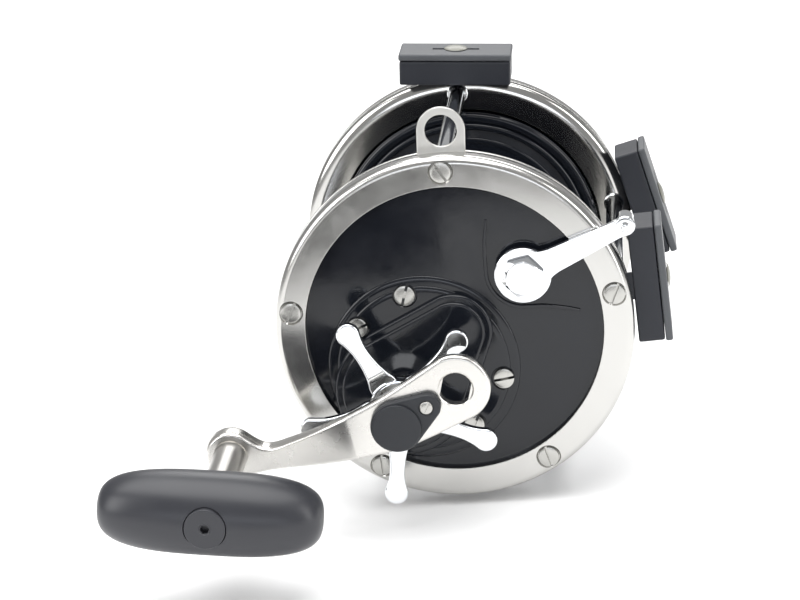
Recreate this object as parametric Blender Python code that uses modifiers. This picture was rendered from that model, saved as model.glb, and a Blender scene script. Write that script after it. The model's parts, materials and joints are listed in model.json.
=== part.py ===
"""Trolling reel with a star drag and a T-grip crank.

World axes: the spool's axis runs along Y, the handle side faces -Y, X points
right when the handle side is looked at, and +Z is up.  The origin is the
middle of the reel foot's lower face.  Sizes below are in millimetres.

Both side frames use the same local axes: u across, v up and h outward from
the ring's face.  They hang from the empties handle_side and far_side.
"""
import math

import bmesh
import bpy
from mathutils import Vector

MM = 0.001

# Driving sizes, millimetres
gap = 0.3                   # clearance between neighbouring solids
frameWidth = 145.5          # from ring face to ring face
ringRadius = 76.0
footDrop = 4.0              # foot's seat below the rings
bandWidth = 13.0            # of the outer ring's flat face
bandThickness = 2.5
skirtWall = 2.9
skirtDepth = 8.1
innerRingThickness = 4.0
innerRingStep = 1.5         # inner ring reaches this far past the outer ring's lip
plateWall = 2.4
flangeStep = 2.0            # plate's flange reaches this far past the outer ring's lip
postAngles = (90.0, 10.0, 170.0, 239.0, 301.0)
postRadius = 3.75
postFlare = 6.4
postFlareLength = 4.0
screwHeadRadius = 4.4
screwHeadHeight = 1.6
screwHeadProud = 0.9
screwShank = 2.1
screwReach = 6.0            # of a ring screw inside its post
slotWidth = 1.1

crankAngle = 226.975        # of the crank's axis, seen from the spool's
gearModule = 1.4
mainTeeth = 34
pinionTeeth = 16
gearThickness = 5.0
gearBacklash = 0.5
gearCloseness = 0.12        # taken off the centre distance, out of the backlash
ratchetTip = 14.0
ratchetRoot = 11.2
ratchetTeeth = 12
dogReach = 22.0             # dog's pivot from the crank's axis
dogAngle = 120.0
dogHub = 3.2
dogStud = 1.4
washerThickness = 1.1
dragPlateThickness = 1.3
collarRadius = 5.0
collarFlange = 6.6
collarTop = -12.1           # of the flange under the clutch yoke
collarBottom = -14.2
yokeThickness = 1.2
yokeInner = 5.4
yokeOuter = 9.6
yokeTail = 30.0
yokeTailHalf = 3.3
mainGearTop = -4.8
pinionTop = -5.3
sleeveRadius = 5.0
bearingOuter = 7.3
bearingBore = 3.4
bearingThickness = 2.5
journalRadius = 3.1
shaftRadius = 4.0

humpU, humpV = -14.3, -16.6
humpRadius = 41.0
humpShelf = 4.2             # width of the hump's stepped border
humpRise = 1.1              # height of each of its two steps
caseRise = 3.8              # gear case above the hump
caseShelf = 3.0
caseRoom = 1.6              # gear case wall to gear tip
caseWall = 2.2
socketWall = 2.0
bridgeScrews = ((-19.6, 16.8), (-40.8, 3.6), (19.4, -22.8), (5.2, -43.1))
bridgeScrewHead = 4.3
bridgeScrewShank = 1.6
bridgeTop = -12.4
bridgeThickness = 2.0
bridgeMargin = 1.0          # bridge to the inside of the plate's flange

spoolMargin = 1.5           # spool flange to the inner ring's lip
spoolFlangeThickness = 3.5
spoolArborRadius = 22.0
spoolEndGap = 0.7
spoolRidge = 7.0            # width of the flange's thick rim
spoolCoreRadius = 14.0

leverU, leverV = 30.9, 23.6
leverHub = 12.0
leverAngle = 23.3
leverOverhang = 9.74        # middle of the lever's end outside the ring
leverBottom = 0.6
leverThickness = 3.0
leverShaft = 3.9
leverFoot = 8.4
leverEnd = 4.3              # radius of the boss at the lever's end
leverBolt = 8.9             # across the corners of the bolt, halved
leverBoltHeight = 3.1
leverBoltTurn = 12.0
knobRadius = 3.9
knobLength = 7.7

starLobeCircle = 38.5
starLobe = 4.6
starHub = 11.5
starBottom = 11.3
starTop = 25.0
starArmTop = 22.6
starArmThickness = 3.6
starPhase = 47.0
starArms = 5
starArmStations = ((17.0, 5.2), (25.0, 3.0), (31.0, 2.7))   # along an arm, half width

armTop = 41.0
armThickness = 5.0
armBossTop = 30.0
armBossThickness = 10.0
armStations = ((25.8, 14.5, 14.4), (-0.6, 1.1, 12.2), (-22.5, -6.0, 9.1),
               (-42.0, -12.8, 6.6), (-56.5, -16.6, 5.5), (-72.2, -14.5, 10.8))
freeHoleRadius = 7.0
freeHoleTurn = 75.0
nutRing = 2.4               # wall of the crank nut at its corners
nutHeight = 2.9
nutRoom = 0.5
capHeight = 4.7
capWall = 2.7
capTail = (13.8, 8.4, 5.8)
capScrew = (13.4, 8.5)
capScrewShank = 1.4
postBore = 2.9
gripPostRadius = 6.6
gripPostLength = 66.0       # in front of the arm's boss
gripLength = 90.6
gripRadius = 17.0
gripReach = 58.0            # grip axis in front of the arm's boss
gripTilt = -8.6
gripPlugRadius = 8.4
gripPlugDepth = 6.0

clipLength = 50.5
clipDepth = 22.5
clipBase = 11.0
clipCover = 3.1
clipLip = 0.4
clipSlotLength = 21.4
clipSlotWidth = 2.7
clipButtonRadius = 5.3
clipStem = 6.0
clipEdge = 0.6              # bevel of its corners
# side, middle outside the ring, its angle, the clip's outward angle, tongue from its side
clips = (("handle_side", 8.3, 8.5, 2.5, 0.5),
         ("far_side", 8.4, 9.9, 14.0, 3.5),
         ("far_side", 7.6, 89.6, 85.8, 3.5))
tongueWidth = 12.0
tongueSlack = 0.4
tongueLength = 3.4

lugHalfWidth = 10.55
lugHoleReach = 9.0          # hole's middle outside the ring
lugHoleRadius = 6.4
lugTuck = 9.5               # lug's foot inside the ring's edge
lugThickness = 1.8

footLength = 92.0
footWidth = 24.0
footEnd = 2.4
footEar = 7.6

clickU, clickV = 22.0, -22.0
clickTravel = 6.0
clickStem = 1.8
clickKnob = 4.9
clickGearTip = 12.0
clickGearTeeth = 20
clickToothDepth = 1.8
clickGearTop = -11.0
clickGearThickness = 1.4

bigSteps = 36
midSteps = 20
smallSteps = 12

screwCircle = ringRadius - bandWidth / 2
ringLip = ringRadius - bandWidth
innerRingLip = ringLip - innerRingStep
flangeInner = ringLip - flangeStep
bridgeRadius = flangeInner - bridgeMargin
spoolFlangeRadius = innerRingLip - spoolMargin
axisHeight = ringRadius + footDrop
ringDepth = skirtDepth + lugThickness + innerRingThickness + 2 * gap
lugTop = -(skirtDepth + gap)
lugFoot = ringRadius - lugTuck
lugHoleHeight = ringRadius + lugHoleReach
tongueTop = lugTop - tongueSlack / 4
tongueThickness = lugThickness - tongueSlack
nutRadius = sleeveRadius + nutRing
leverAlong = (leverU * math.cos(math.radians(leverAngle))
              + leverV * math.sin(math.radians(leverAngle)))
leverLength = math.sqrt((ringRadius + leverOverhang) ** 2 - leverU ** 2 - leverV ** 2
                        + leverAlong ** 2) - leverAlong
plateFront = -(bandThickness + gap)
plateBack = plateFront - plateWall
flangeBack = -(ringDepth - innerRingThickness - gap)
innerRingTop = -(ringDepth - innerRingThickness)
crankToSpool = gearModule * (mainTeeth + pinionTeeth) / 2 - gearCloseness
crankU = crankToSpool * math.cos(math.radians(crankAngle))
crankV = crankToSpool * math.sin(math.radians(crankAngle))
mainTip = gearModule * (mainTeeth + 2) / 2
pinionTip = gearModule * (pinionTeeth + 2) / 2
humpTop = plateFront + 2 * humpRise
caseTop = humpTop + caseRise
caseCeiling = caseTop - caseWall
handleBearingTop = caseCeiling - gap

for old in list(bpy.data.objects):
    bpy.data.objects.remove(old, do_unlink=True)

reelCollection = bpy.data.collections.new("trolling_reel")
cutterCollection = bpy.data.collections.new("cutters")
bpy.context.scene.collection.children.link(reelCollection)
bpy.context.scene.collection.children.link(cutterCollection)


def finish(name, rgb, rough, metal):
    material = bpy.data.materials.new(name)
    material.use_nodes = True
    shader = material.node_tree.nodes["Principled BSDF"]
    shader.inputs["Base Color"].default_value = (*rgb, 1.0)
    shader.inputs["Roughness"].default_value = rough
    shader.inputs["Metallic"].default_value = metal
    return material


finishes = {
    "polished_steel": ((0.72, 0.69, 0.65), 0.25, 1.0),
    "bright_chrome": ((0.85, 0.86, 0.88), 0.08, 1.0),
    "satin_steel": ((0.55, 0.53, 0.50), 0.38, 1.0),
    "black_plate": ((0.02, 0.02, 0.023), 0.18, 0.0),
    "black_plastic": ((0.03, 0.032, 0.036), 0.42, 0.0),
    "grip_rubber": ((0.045, 0.045, 0.05), 0.4, 0.0),
    "brass": ((0.70, 0.52, 0.25), 0.3, 1.0),
    "fibre": ((0.22, 0.17, 0.12), 0.8, 0.0),
}


def addEmpty(name, location, rotation=(0.0, 0.0, 0.0), parent=None):
    empty = bpy.data.objects.new(name, None)
    empty.location = [value * MM for value in location]
    empty.rotation_euler = [math.radians(angle) for angle in rotation]
    empty.parent = parent
    reelCollection.objects.link(empty)
    return empty


handleSide = addEmpty("handle_side", (0, -frameWidth / 2, axisHeight), (90, 0, 0))
farSide = addEmpty("far_side", (0, frameWidth / 2, axisHeight), (-90, 180, 0))
crankAxis = addEmpty("crank_axis", (crankU, crankV, 0), parent=handleSide)
leverAxis = addEmpty("lever_axis", (leverU, leverV, 0), parent=handleSide)
sides = {"handle_side": handleSide, "far_side": farSide}


def addObject(name, mesh, parent, at=(0, 0, 0), turn=0.0, colour=None):
    """A sub-part when a colour is given, and a cutter or a builder otherwise."""
    piece = bpy.data.objects.new(name, mesh)
    piece.location = [value * MM for value in at]
    piece.rotation_euler = (0, 0, math.radians(turn))
    piece.parent = parent
    if colour is None:
        cutterCollection.objects.link(piece)
        piece.hide_render = True
        piece.display_type = "WIRE"
        return piece
    reelCollection.objects.link(piece)
    rgb, rough, metal = finishes[colour]
    mesh.materials.append(finish(name + "_finish", rgb, rough, metal))
    return piece


def turned(name, profile, parent, at=(0, 0, 0), colour=None, steps=midSteps, closed=False):
    """Turn a profile of (radius, h), outer side running down, about its own h axis."""
    mesh = bpy.data.meshes.new(name)
    points = [(radius * MM, 0.0, h * MM) for radius, h in profile]
    edges = [(i, i + 1) for i in range(len(points) - 1)]
    if closed:
        edges.append((len(points) - 1, 0))
    mesh.from_pydata(points, edges, [])
    piece = addObject(name, mesh, parent, at, colour=colour)
    screw = piece.modifiers.new("turn", "SCREW")
    screw.axis = "Z"
    screw.steps = steps
    screw.render_steps = steps
    screw.use_merge_vertices = True
    screw.merge_threshold = 0.00001
    screw.use_smooth_shade = True
    return piece


def disc(name, radius, top, bottom, parent, at=(0, 0, 0), colour=None, steps=smallSteps):
    return turned(name, [(0, top), (radius, top), (radius, bottom), (0, bottom)],
                  parent, at, colour, steps)


def tube(name, outer, inner, top, bottom, parent, at=(0, 0, 0), colour=None, steps=midSteps):
    return turned(name, [(inner, top), (outer, top), (outer, bottom), (inner, bottom)],
                  parent, at, colour, steps, closed=True)


def flat(name, outlines, top, bottom, parent, at=(0, 0, 0), turn=0.0, colour=None):
    """Fill a flat outline, any others being holes in it, and give it thickness."""
    curve = bpy.data.curves.new(name, "CURVE")
    curve.dimensions = "2D"
    curve.fill_mode = "BOTH"
    curve.extrude = (top - bottom) / 2 * MM
    for outline in outlines:
        spline = curve.splines.new("POLY")
        spline.points.add(len(outline) - 1)
        for point, (u, v) in zip(spline.points, outline):
            point.co = (u * MM, v * MM, 0.0, 1.0)
        spline.use_cyclic_u = True
    source = bpy.data.objects.new(name + "_curve", curve)
    bpy.context.scene.collection.objects.link(source)
    bpy.context.view_layer.update()
    evaluated = source.evaluated_get(bpy.context.evaluated_depsgraph_get())
    mesh = bpy.data.meshes.new_from_object(evaluated)
    bpy.data.objects.remove(source)
    shape = bmesh.new()
    shape.from_mesh(mesh)
    bmesh.ops.remove_doubles(shape, verts=shape.verts, dist=0.000001)
    bmesh.ops.translate(shape, verts=shape.verts, vec=(0, 0, (top + bottom) / 2 * MM))
    bmesh.ops.recalc_face_normals(shape, faces=shape.faces)
    shape.to_mesh(mesh)
    shape.free()
    return addObject(name, mesh, parent, at, turn, colour)


def box(name, size, centre, parent, at=(0, 0, 0), turn=0.0, colour=None, bevel=0.0):
    mesh = bpy.data.meshes.new(name)
    shape = bmesh.new()
    bmesh.ops.create_cube(shape, size=MM)
    bmesh.ops.scale(shape, vec=size, verts=shape.verts)
    bmesh.ops.translate(shape, vec=Vector(centre) * MM, verts=shape.verts)
    shape.to_mesh(mesh)
    shape.free()
    piece = addObject(name, mesh, parent, at, turn, colour)
    if bevel:
        edge = piece.modifiers.new("edges", "BEVEL")
        edge.width = bevel * MM
        edge.segments = 1
    return piece


def combine(piece, other, operation):
    """Cut, join or keep the overlap of a piece with a builder object."""
    change = piece.modifiers.new(operation.lower(), "BOOLEAN")
    change.operation = operation
    change.object = other
    change.solver = "EXACT"
    return piece


def drill(piece, holes, parent, steps=smallSteps):
    """Cut round holes given as (u, v, radius, top, bottom)."""
    for number, (u, v, radius, top, bottom) in enumerate(holes):
        cutter = disc(f"{piece.name}_drill_{number}", radius, top, bottom, parent, (u, v, 0),
                      steps=steps)
        combine(piece, cutter, "DIFFERENCE")
    return piece


def polar(radius, angle):
    return radius * math.cos(math.radians(angle)), radius * math.sin(math.radians(angle))


def beside(along, aside, angle):
    """A point along a heading and aside from it, to its left."""
    u, v = polar(along, angle)
    return u + polar(aside, angle + 90)[0], v + polar(aside, angle + 90)[1]


def arc(u, v, radius, start, end, count):
    """Points of an arc, its two ends included."""
    angles = [start + (end - start) * i / (count - 1) for i in range(count)]
    return [(u + polar(radius, angle)[0], v + polar(radius, angle)[1]) for angle in angles]


def circle(u, v, radius, count):
    return arc(u, v, radius, 0.0, 360.0 * (count - 1) / count, count)


def ribbon(stations, startSpread=90.0, endSpread=90.0, count=9):
    """Outline round a chain of circles (u, v, radius), with round ends."""
    headings = []
    for i in range(len(stations)):
        before = stations[max(i - 1, 0)]
        after = stations[min(i + 1, len(stations) - 1)]
        headings.append(math.degrees(math.atan2(after[1] - before[1], after[0] - before[0])))
    start, end = stations[0], stations[-1]
    points = arc(*start, headings[0] + 180 - startSpread, headings[0] + 180 + startSpread, count)
    points.reverse()
    left = [(u + polar(r, a + 90)[0], v + polar(r, a + 90)[1])
            for (u, v, r), a in zip(stations[1:-1], headings[1:-1])]
    right = [(u + polar(r, a - 90)[0], v + polar(r, a - 90)[1])
             for (u, v, r), a in zip(stations[1:-1], headings[1:-1])]
    cap = arc(*end, headings[-1] + endSpread, headings[-1] - endSpread, count)
    return points + left + cap + right[::-1]


def gearOutline(teeth, phase):
    """Straight-sided teeth, thinned by the backlash, one of them at the phase angle."""
    pitch = gearModule * teeth / 2
    half = math.degrees((math.pi * gearModule / 2 - gearBacklash) / 2 / pitch)
    points = []
    for tooth in range(teeth):
        middle = phase + 360.0 * tooth / teeth
        points.append(polar(pitch - 1.25 * gearModule, middle - 1.4 * half))
        points.append(polar(pitch + gearModule, middle - 0.5 * half))
        points.append(polar(pitch + gearModule, middle + 0.5 * half))
        points.append(polar(pitch - 1.25 * gearModule, middle + 1.4 * half))
    return points


def slottedScrew(name, parent, at, head, height, proud, shank, tip, slotAngle=0.0):
    """A domed, slotted screw: its head stands proud of h = 0 of its place."""
    base = proud - height
    profile = [(0, proud), (head * 0.62, proud - 0.05 * height), (head, proud - 0.35 * height),
               (head, base), (shank, base), (shank, tip), (0, tip)]
    piece = turned(name, profile, parent, at, "polished_steel", smallSteps)
    slot = box(name + "_slot", (3 * head, slotWidth, height), (0, 0, proud + height * 0.05),
               parent, at, slotAngle)
    return combine(piece, slot, "DIFFERENCE")


def buildRings(prefix, parent):
    """The outer ring with its rounded shoulder, and the flat inner ring behind it."""
    band = [(ringLip, 0), (ringRadius - 3.4, 0), (ringRadius - 1.3, -0.8),
            (ringRadius - 0.2, -2.4), (ringRadius, -4.2), (ringRadius, -skirtDepth),
            (ringRadius - skirtWall, -skirtDepth), (ringRadius - skirtWall, -bandThickness),
            (ringLip, -bandThickness)]
    outer = turned(prefix + "_outer_ring", band, parent, colour="polished_steel",
                   steps=bigSteps, closed=True)
    back = [(innerRingLip, innerRingTop), (ringRadius - 0.5, innerRingTop),
            (ringRadius, innerRingTop - 0.6), (ringRadius, 1.8 - ringDepth),
            (ringRadius - 1.6, -ringDepth), (innerRingLip, -ringDepth)]
    inner = turned(prefix + "_inner_ring", back, parent, colour="polished_steel",
                   steps=bigSteps, closed=True)
    seatDepth = screwHeadHeight - screwHeadProud + gap
    for angle in postAngles:
        u, v = polar(screwCircle, angle)
        drill(outer, [(u, v, screwHeadRadius + gap, 1.0, -seatDepth)], parent)
        drill(outer, [(u, v, screwShank + gap, 1.0, -bandThickness - 1)], parent)
        drill(inner, [(u, v, screwShank + gap, innerRingTop + 1, -ringDepth - 1)], parent)


def plateDisc(name, parent):
    """The side plate: a thin wall with a thick flange held between the rings."""
    rim = ringRadius - skirtWall - gap
    profile = [(0, plateFront), (rim, plateFront), (rim, flangeBack), (flangeInner, flangeBack),
               (flangeInner, plateBack), (0, plateBack)]
    return turned(name, profile, parent, colour="black_plate", steps=bigSteps)


def beltOutline(growth):
    """Outline that wraps the main gear and the pinion, grown outward."""
    big = mainTip + caseRoom + growth
    small = pinionTip + caseRoom + growth
    heading = math.degrees(math.atan2(-crankV, -crankU))
    lean = math.degrees(math.acos((big - small) / crankToSpool))
    outline = arc(crankU, crankV, big, heading + lean, heading + 360 - lean, 22)
    return outline + arc(0, 0, small, heading - lean, heading + lean, 12)


def buildHandlePlate():
    plate = plateDisc("handle_side_plate", handleSide)
    middle = (plateFront + plateBack) / 2
    border = [(0, humpTop), (humpRadius - humpShelf, humpTop),
              (humpRadius - humpShelf, humpTop - humpRise), (humpRadius, humpTop - humpRise),
              (humpRadius, middle), (0, middle)]
    hump = turned("hump", border, handleSide, (humpU, humpV, 0), steps=bigSteps)
    combine(plate, hump, "UNION")
    low = flat("case_low", [beltOutline(caseWall)], caseTop - 1.2, middle, handleSide)
    combine(plate, low, "UNION")
    high = flat("case_high", [beltOutline(caseWall - caseShelf)], caseTop, middle, handleSide)
    combine(plate, high, "UNION")
    trim = tube("ring_trim", ringRadius + 5, ringLip - gap, caseTop + 5, plateFront + 0.05,
                handleSide, steps=bigSteps)
    combine(plate, trim, "DIFFERENCE")
    room = flat("case_room", [beltOutline(-0.6)], caseCeiling, plateBack - 1, handleSide)
    combine(plate, room, "DIFFERENCE")
    socketBottom = handleBearingTop - bearingThickness - gap
    socket = tube("bearing_socket", bearingOuter + gap + socketWall, bearingOuter + gap,
                  caseCeiling + 1.0, socketBottom, handleSide)
    combine(plate, socket, "UNION")
    drill(plate, [(crankU, crankV, sleeveRadius + 2.6, caseTop + 1, caseCeiling - 1)], handleSide)
    drill(plate, [(leverU, leverV, leverShaft + gap, 1, plateBack - 1)], handleSide)
    for angle in postAngles:
        u, v = polar(screwCircle, angle)
        drill(plate, [(u, v, screwShank + gap, plateFront + 1, flangeBack - 1)], handleSide, 10)
    for u, v in bridgeScrews:
        drill(plate, [(u, v, bridgeScrewShank + gap, humpTop + 1, plateBack - 1)], handleSide, 10)
    across, deep = lugTuck + 5.0, 2 * (lugThickness + gap)
    notch = box("lug_notch", (2 * (lugHalfWidth + gap), across, deep),
                (0, lugFoot - gap + across / 2, lugTop + gap - deep / 2), handleSide)
    combine(plate, notch, "DIFFERENCE")


def buildFarPlate():
    plate = plateDisc("far_side_plate", farSide)
    middle = (plateFront + plateBack) / 2
    socket = disc("far_boss", bearingOuter + gap + socketWall, middle,
                  plateBack - bearingThickness - 1.2, farSide, steps=midSteps)
    combine(plate, socket, "UNION")
    drill(plate, [(0, 0, bearingOuter + gap, 1, -20)], farSide, midSteps)
    for angle in postAngles:
        u, v = polar(screwCircle, 180 - angle)
        drill(plate, [(u, v, screwShank + gap, plateFront + 1, flangeBack - 1)], farSide, 10)
    slotWide = 2 * (clickStem + gap)
    heading = math.degrees(math.atan2(-clickV, -clickU))
    slot = box("click_slot", (clickTravel + slotWide, slotWide, 4 * plateWall),
               (clickTravel / 2, 0, plateFront), farSide, (clickU, clickV, 0), heading)
    combine(plate, slot, "DIFFERENCE")


def buildPosts():
    length = frameWidth - 2 * ringDepth - 2 * gap
    bore = screwShank + gap
    depth = screwReach + 2.0
    for number, angle in enumerate(postAngles, 1):
        top = -ringDepth - gap
        bottom = top - length
        profile = [(0, top - depth), (bore, top - depth), (bore, top), (postFlare, top),
                   (postRadius + 0.6, top - 0.5 * postFlareLength),
                   (postRadius, top - postFlareLength), (postRadius, bottom + postFlareLength),
                   (postRadius + 0.6, bottom + 0.5 * postFlareLength), (postFlare, bottom),
                   (bore, bottom), (bore, bottom + depth), (0, bottom + depth)]
        u, v = polar(screwCircle, angle)
        turned(f"cross_post_{number}", profile, handleSide, (u, v, 0), "bright_chrome", smallSteps)
        slottedScrew(f"handle_ring_screw_{number}", handleSide, (u, v, 0), screwHeadRadius,
                     screwHeadHeight, screwHeadProud, screwShank, -ringDepth - screwReach,
                     angle + 35.0)


def buildBridge():
    """The bridge carries the gear sleeve and hangs on the plate by four screws."""
    bottom = bridgeTop - bridgeThickness
    bridge = disc("bridge_plate", bridgeRadius, bridgeTop, bottom, handleSide,
                  colour="satin_steel", steps=midSteps * 2)
    post = bridgeScrewShank + 1.7
    head = (bridgeScrewHead, screwHeadHeight - 0.1)
    for number, (u, v) in enumerate(bridgeScrews, 1):
        standoff = disc(f"standoff_{number}", post, plateBack - gap, bottom + 1, handleSide,
                        (u, v, 0), steps=10)
        combine(bridge, standoff, "UNION")
        drill(bridge, [(u, v, bridgeScrewShank + gap, 0, bottom - 1)], handleSide, 10)
        slottedScrew(f"bridge_screw_{number}", handleSide, (u, v, humpTop + gap),
                     *head, head[1], bridgeScrewShank,
                     bottom + 0.5 - humpTop - gap, 70.0 * number)
    drill(bridge, [(0, 0, collarFlange + 0.8, 0, bottom - 1),
                   (crankU, crankV, sleeveRadius + gap, 0, bottom - 1)], handleSide, midSteps)
    stud = disc("dog_stud", dogStud, bridgeTop + 2.2, bottom + 1, handleSide,
                dogPlace() + (0,), steps=10)
    combine(bridge, stud, "UNION")


def dogPlace():
    """The dog's pivot, on the ratchet's upper left."""
    u, v = polar(dogReach, dogAngle)
    return crankU + u, crankV + v


def buildGears():
    heading = math.degrees(math.atan2(-crankV, -crankU))
    bottom = mainGearTop - gearThickness
    flat("main_gear", [gearOutline(mainTeeth, heading), circle(0, 0, sleeveRadius + gap, 16)],
         mainGearTop, bottom, crankAxis, colour="brass")
    washer = mainTip - 6.0
    washerTop = mainGearTop + gap + washerThickness
    tube("drag_washer", washer, sleeveRadius + gap, washerTop, mainGearTop + gap, crankAxis,
         colour="fibre")
    plateTop = washerTop + gap + dragPlateThickness
    tube("drag_plate", washer, sleeveRadius + gap, plateTop, washerTop + gap, crankAxis,
         colour="satin_steel")
    tube("tension_sleeve", sleeveRadius + 2.2, sleeveRadius + gap, starBottom - gap,
         plateTop + gap, crankAxis, colour="satin_steel")
    ratchet = []
    for tooth in range(ratchetTeeth):
        angle = 360.0 * tooth / ratchetTeeth
        ratchet.append(polar(ratchetTip, angle))
        ratchet.append(polar(ratchetRoot, angle + 4))
    flat("ratchet_wheel", [ratchet, circle(0, 0, sleeveRadius + gap, 16)], bottom - gap,
         bridgeTop + gap, crankAxis, colour="satin_steel")
    disc("gear_sleeve", sleeveRadius, armTop + 3.0, bridgeTop - bridgeThickness + gap,
         crankAxis, colour="satin_steel", steps=midSteps)
    pinionBottom = pinionTop - gearThickness
    inner = shaftRadius + gap
    collar = [(inner, pinionBottom + 1), (collarRadius, pinionBottom + 1),
              (collarRadius, collarTop), (collarFlange, collarTop),
              (collarFlange, collarBottom), (inner, collarBottom)]
    pinion = flat("pinion_gear", [gearOutline(pinionTeeth, heading + 180 + 180 / pinionTeeth),
                                  circle(0, 0, shaftRadius + gap, 16)],
                  pinionTop, pinionBottom, handleSide, colour="brass")
    combine(pinion, turned("pinion_collar", collar, handleSide, closed=True, steps=16), "UNION")
    toLever = math.degrees(math.atan2(leverV, leverU))
    tailU, tailV = polar(yokeTail, toLever)
    wideU, wideV = polar(yokeTailHalf, toLever + 90)
    fork = arc(0, 0, yokeOuter, toLever + 150, toLever + 20, 8)
    fork += [(tailU + wideU, tailV + wideV), (tailU - wideU, tailV - wideV)]
    fork += arc(0, 0, yokeOuter, toLever - 20, toLever - 150, 8)
    fork += arc(0, 0, yokeInner, toLever - 150, toLever + 150, 15)
    yokeBottom = collarTop + gap / 2
    flat("clutch_yoke", [fork], yokeBottom + yokeThickness, yokeBottom, handleSide,
         colour="satin_steel")
    tube("handle_bearing", bearingOuter, bearingBore, handleBearingTop,
         handleBearingTop - bearingThickness, handleSide, colour="satin_steel")
    dogU, dogV = dogPlace()
    toward = math.degrees(math.atan2(crankV - dogV, crankU - dogU))
    tipU, tipV = polar(7.0, toward - 40)
    dog = ribbon([(0, 0, dogHub), (tipU, tipV, 1.0)], 100, 80, 7)
    flat("anti_reverse_dog", [dog, circle(0, 0, dogStud + gap, 10)], bottom - gap, bridgeTop + gap,
         handleSide, (dogU, dogV, 0), colour="satin_steel")


def buildSpool():
    """Spool and shaft in one: journals, pinion seat, two flanges and the arbor."""
    front = -ringDepth - spoolEndGap
    back = -frameWidth + ringDepth + spoolEndGap
    farJournal = -frameWidth - plateBack + bearingThickness + 1.0
    rim = spoolFlangeRadius
    ridge = rim - spoolRidge
    arbor = spoolArborRadius
    profile = [(0, handleBearingTop), (journalRadius, handleBearingTop),
               (journalRadius, handleBearingTop - bearingThickness - gap),
               (shaftRadius, handleBearingTop - bearingThickness - gap),
               (shaftRadius, front + 0.4), (spoolCoreRadius, front), (rim, front),
               (rim, front - spoolFlangeThickness + 0.8),
               (rim - 1.5, front - spoolFlangeThickness), (ridge, front - spoolFlangeThickness),
               (ridge - 1.5, front - spoolFlangeThickness + 0.8), (arbor + 3.0, front - 4.4),
               (arbor, front - 7.5), (arbor, back + 7.5), (arbor + 3.0, back + 4.4),
               (ridge - 1.5, back + spoolFlangeThickness - 0.8),
               (ridge, back + spoolFlangeThickness), (rim - 1.5, back + spoolFlangeThickness),
               (rim, back + spoolFlangeThickness - 0.8), (rim, back), (spoolCoreRadius, back),
               (shaftRadius, back - 0.4), (shaftRadius, farJournal + gap),
               (journalRadius, farJournal + gap), (journalRadius, farJournal - bearingThickness),
               (0, farJournal - bearingThickness)]
    turned("spool", profile, handleSide, colour="black_plate", steps=30)
    inner = plateBack - 1.0
    tube("far_bearing", bearingOuter, bearingBore, inner, inner - bearingThickness, farSide,
         colour="satin_steel")
    cap = [(0, 1.9), (8.0, 1.6), (12.6, 0.4), (13.4, -0.8), (13.4, plateFront + gap),
           (bearingOuter, plateFront + gap), (bearingOuter, inner + gap), (0, inner + gap)]
    turned("bearing_cap", cap, farSide, colour="bright_chrome", steps=midSteps)
    teeth = []
    pitch = 360.0 / clickGearTeeth
    for tooth in range(clickGearTeeth):
        teeth.append(polar(clickGearTip, pitch * tooth))
        teeth.append(polar(clickGearTip - clickToothDepth, pitch * (tooth + 0.5)))
    flat("click_gear", [teeth, circle(0, 0, shaftRadius + gap, 16)], clickGearTop,
         clickGearTop - clickGearThickness, farSide, colour="brass")


def buildClick():
    """The click button slides in a slot towards the spool's axis, its pawl below it."""
    heading = math.degrees(math.atan2(-clickV, -clickU))
    pawlTop = clickGearTop - 0.1
    low = plateFront + gap
    knob = [(0, 2.6), (clickKnob - 1.5, 2.3), (clickKnob - 0.3, 1.2), (clickKnob, low),
            (clickStem, low), (clickStem, pawlTop + gap), (0, pawlTop + gap)]
    turned("click_button", knob, farSide, (clickU, clickV, 0), "bright_chrome")
    reach = math.hypot(clickU, clickV) - clickGearTip - clickTravel - 0.6
    pawl = [(-3.0, -3.0), (2.0, -3.0), (reach, -0.6), (reach, 0.6), (2.0, 3.0), (-3.0, 3.0)]
    flat("click_pawl", [pawl], pawlTop, clickGearTop - clickGearThickness, farSide,
         (clickU, clickV, 0), heading, "satin_steel")


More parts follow.
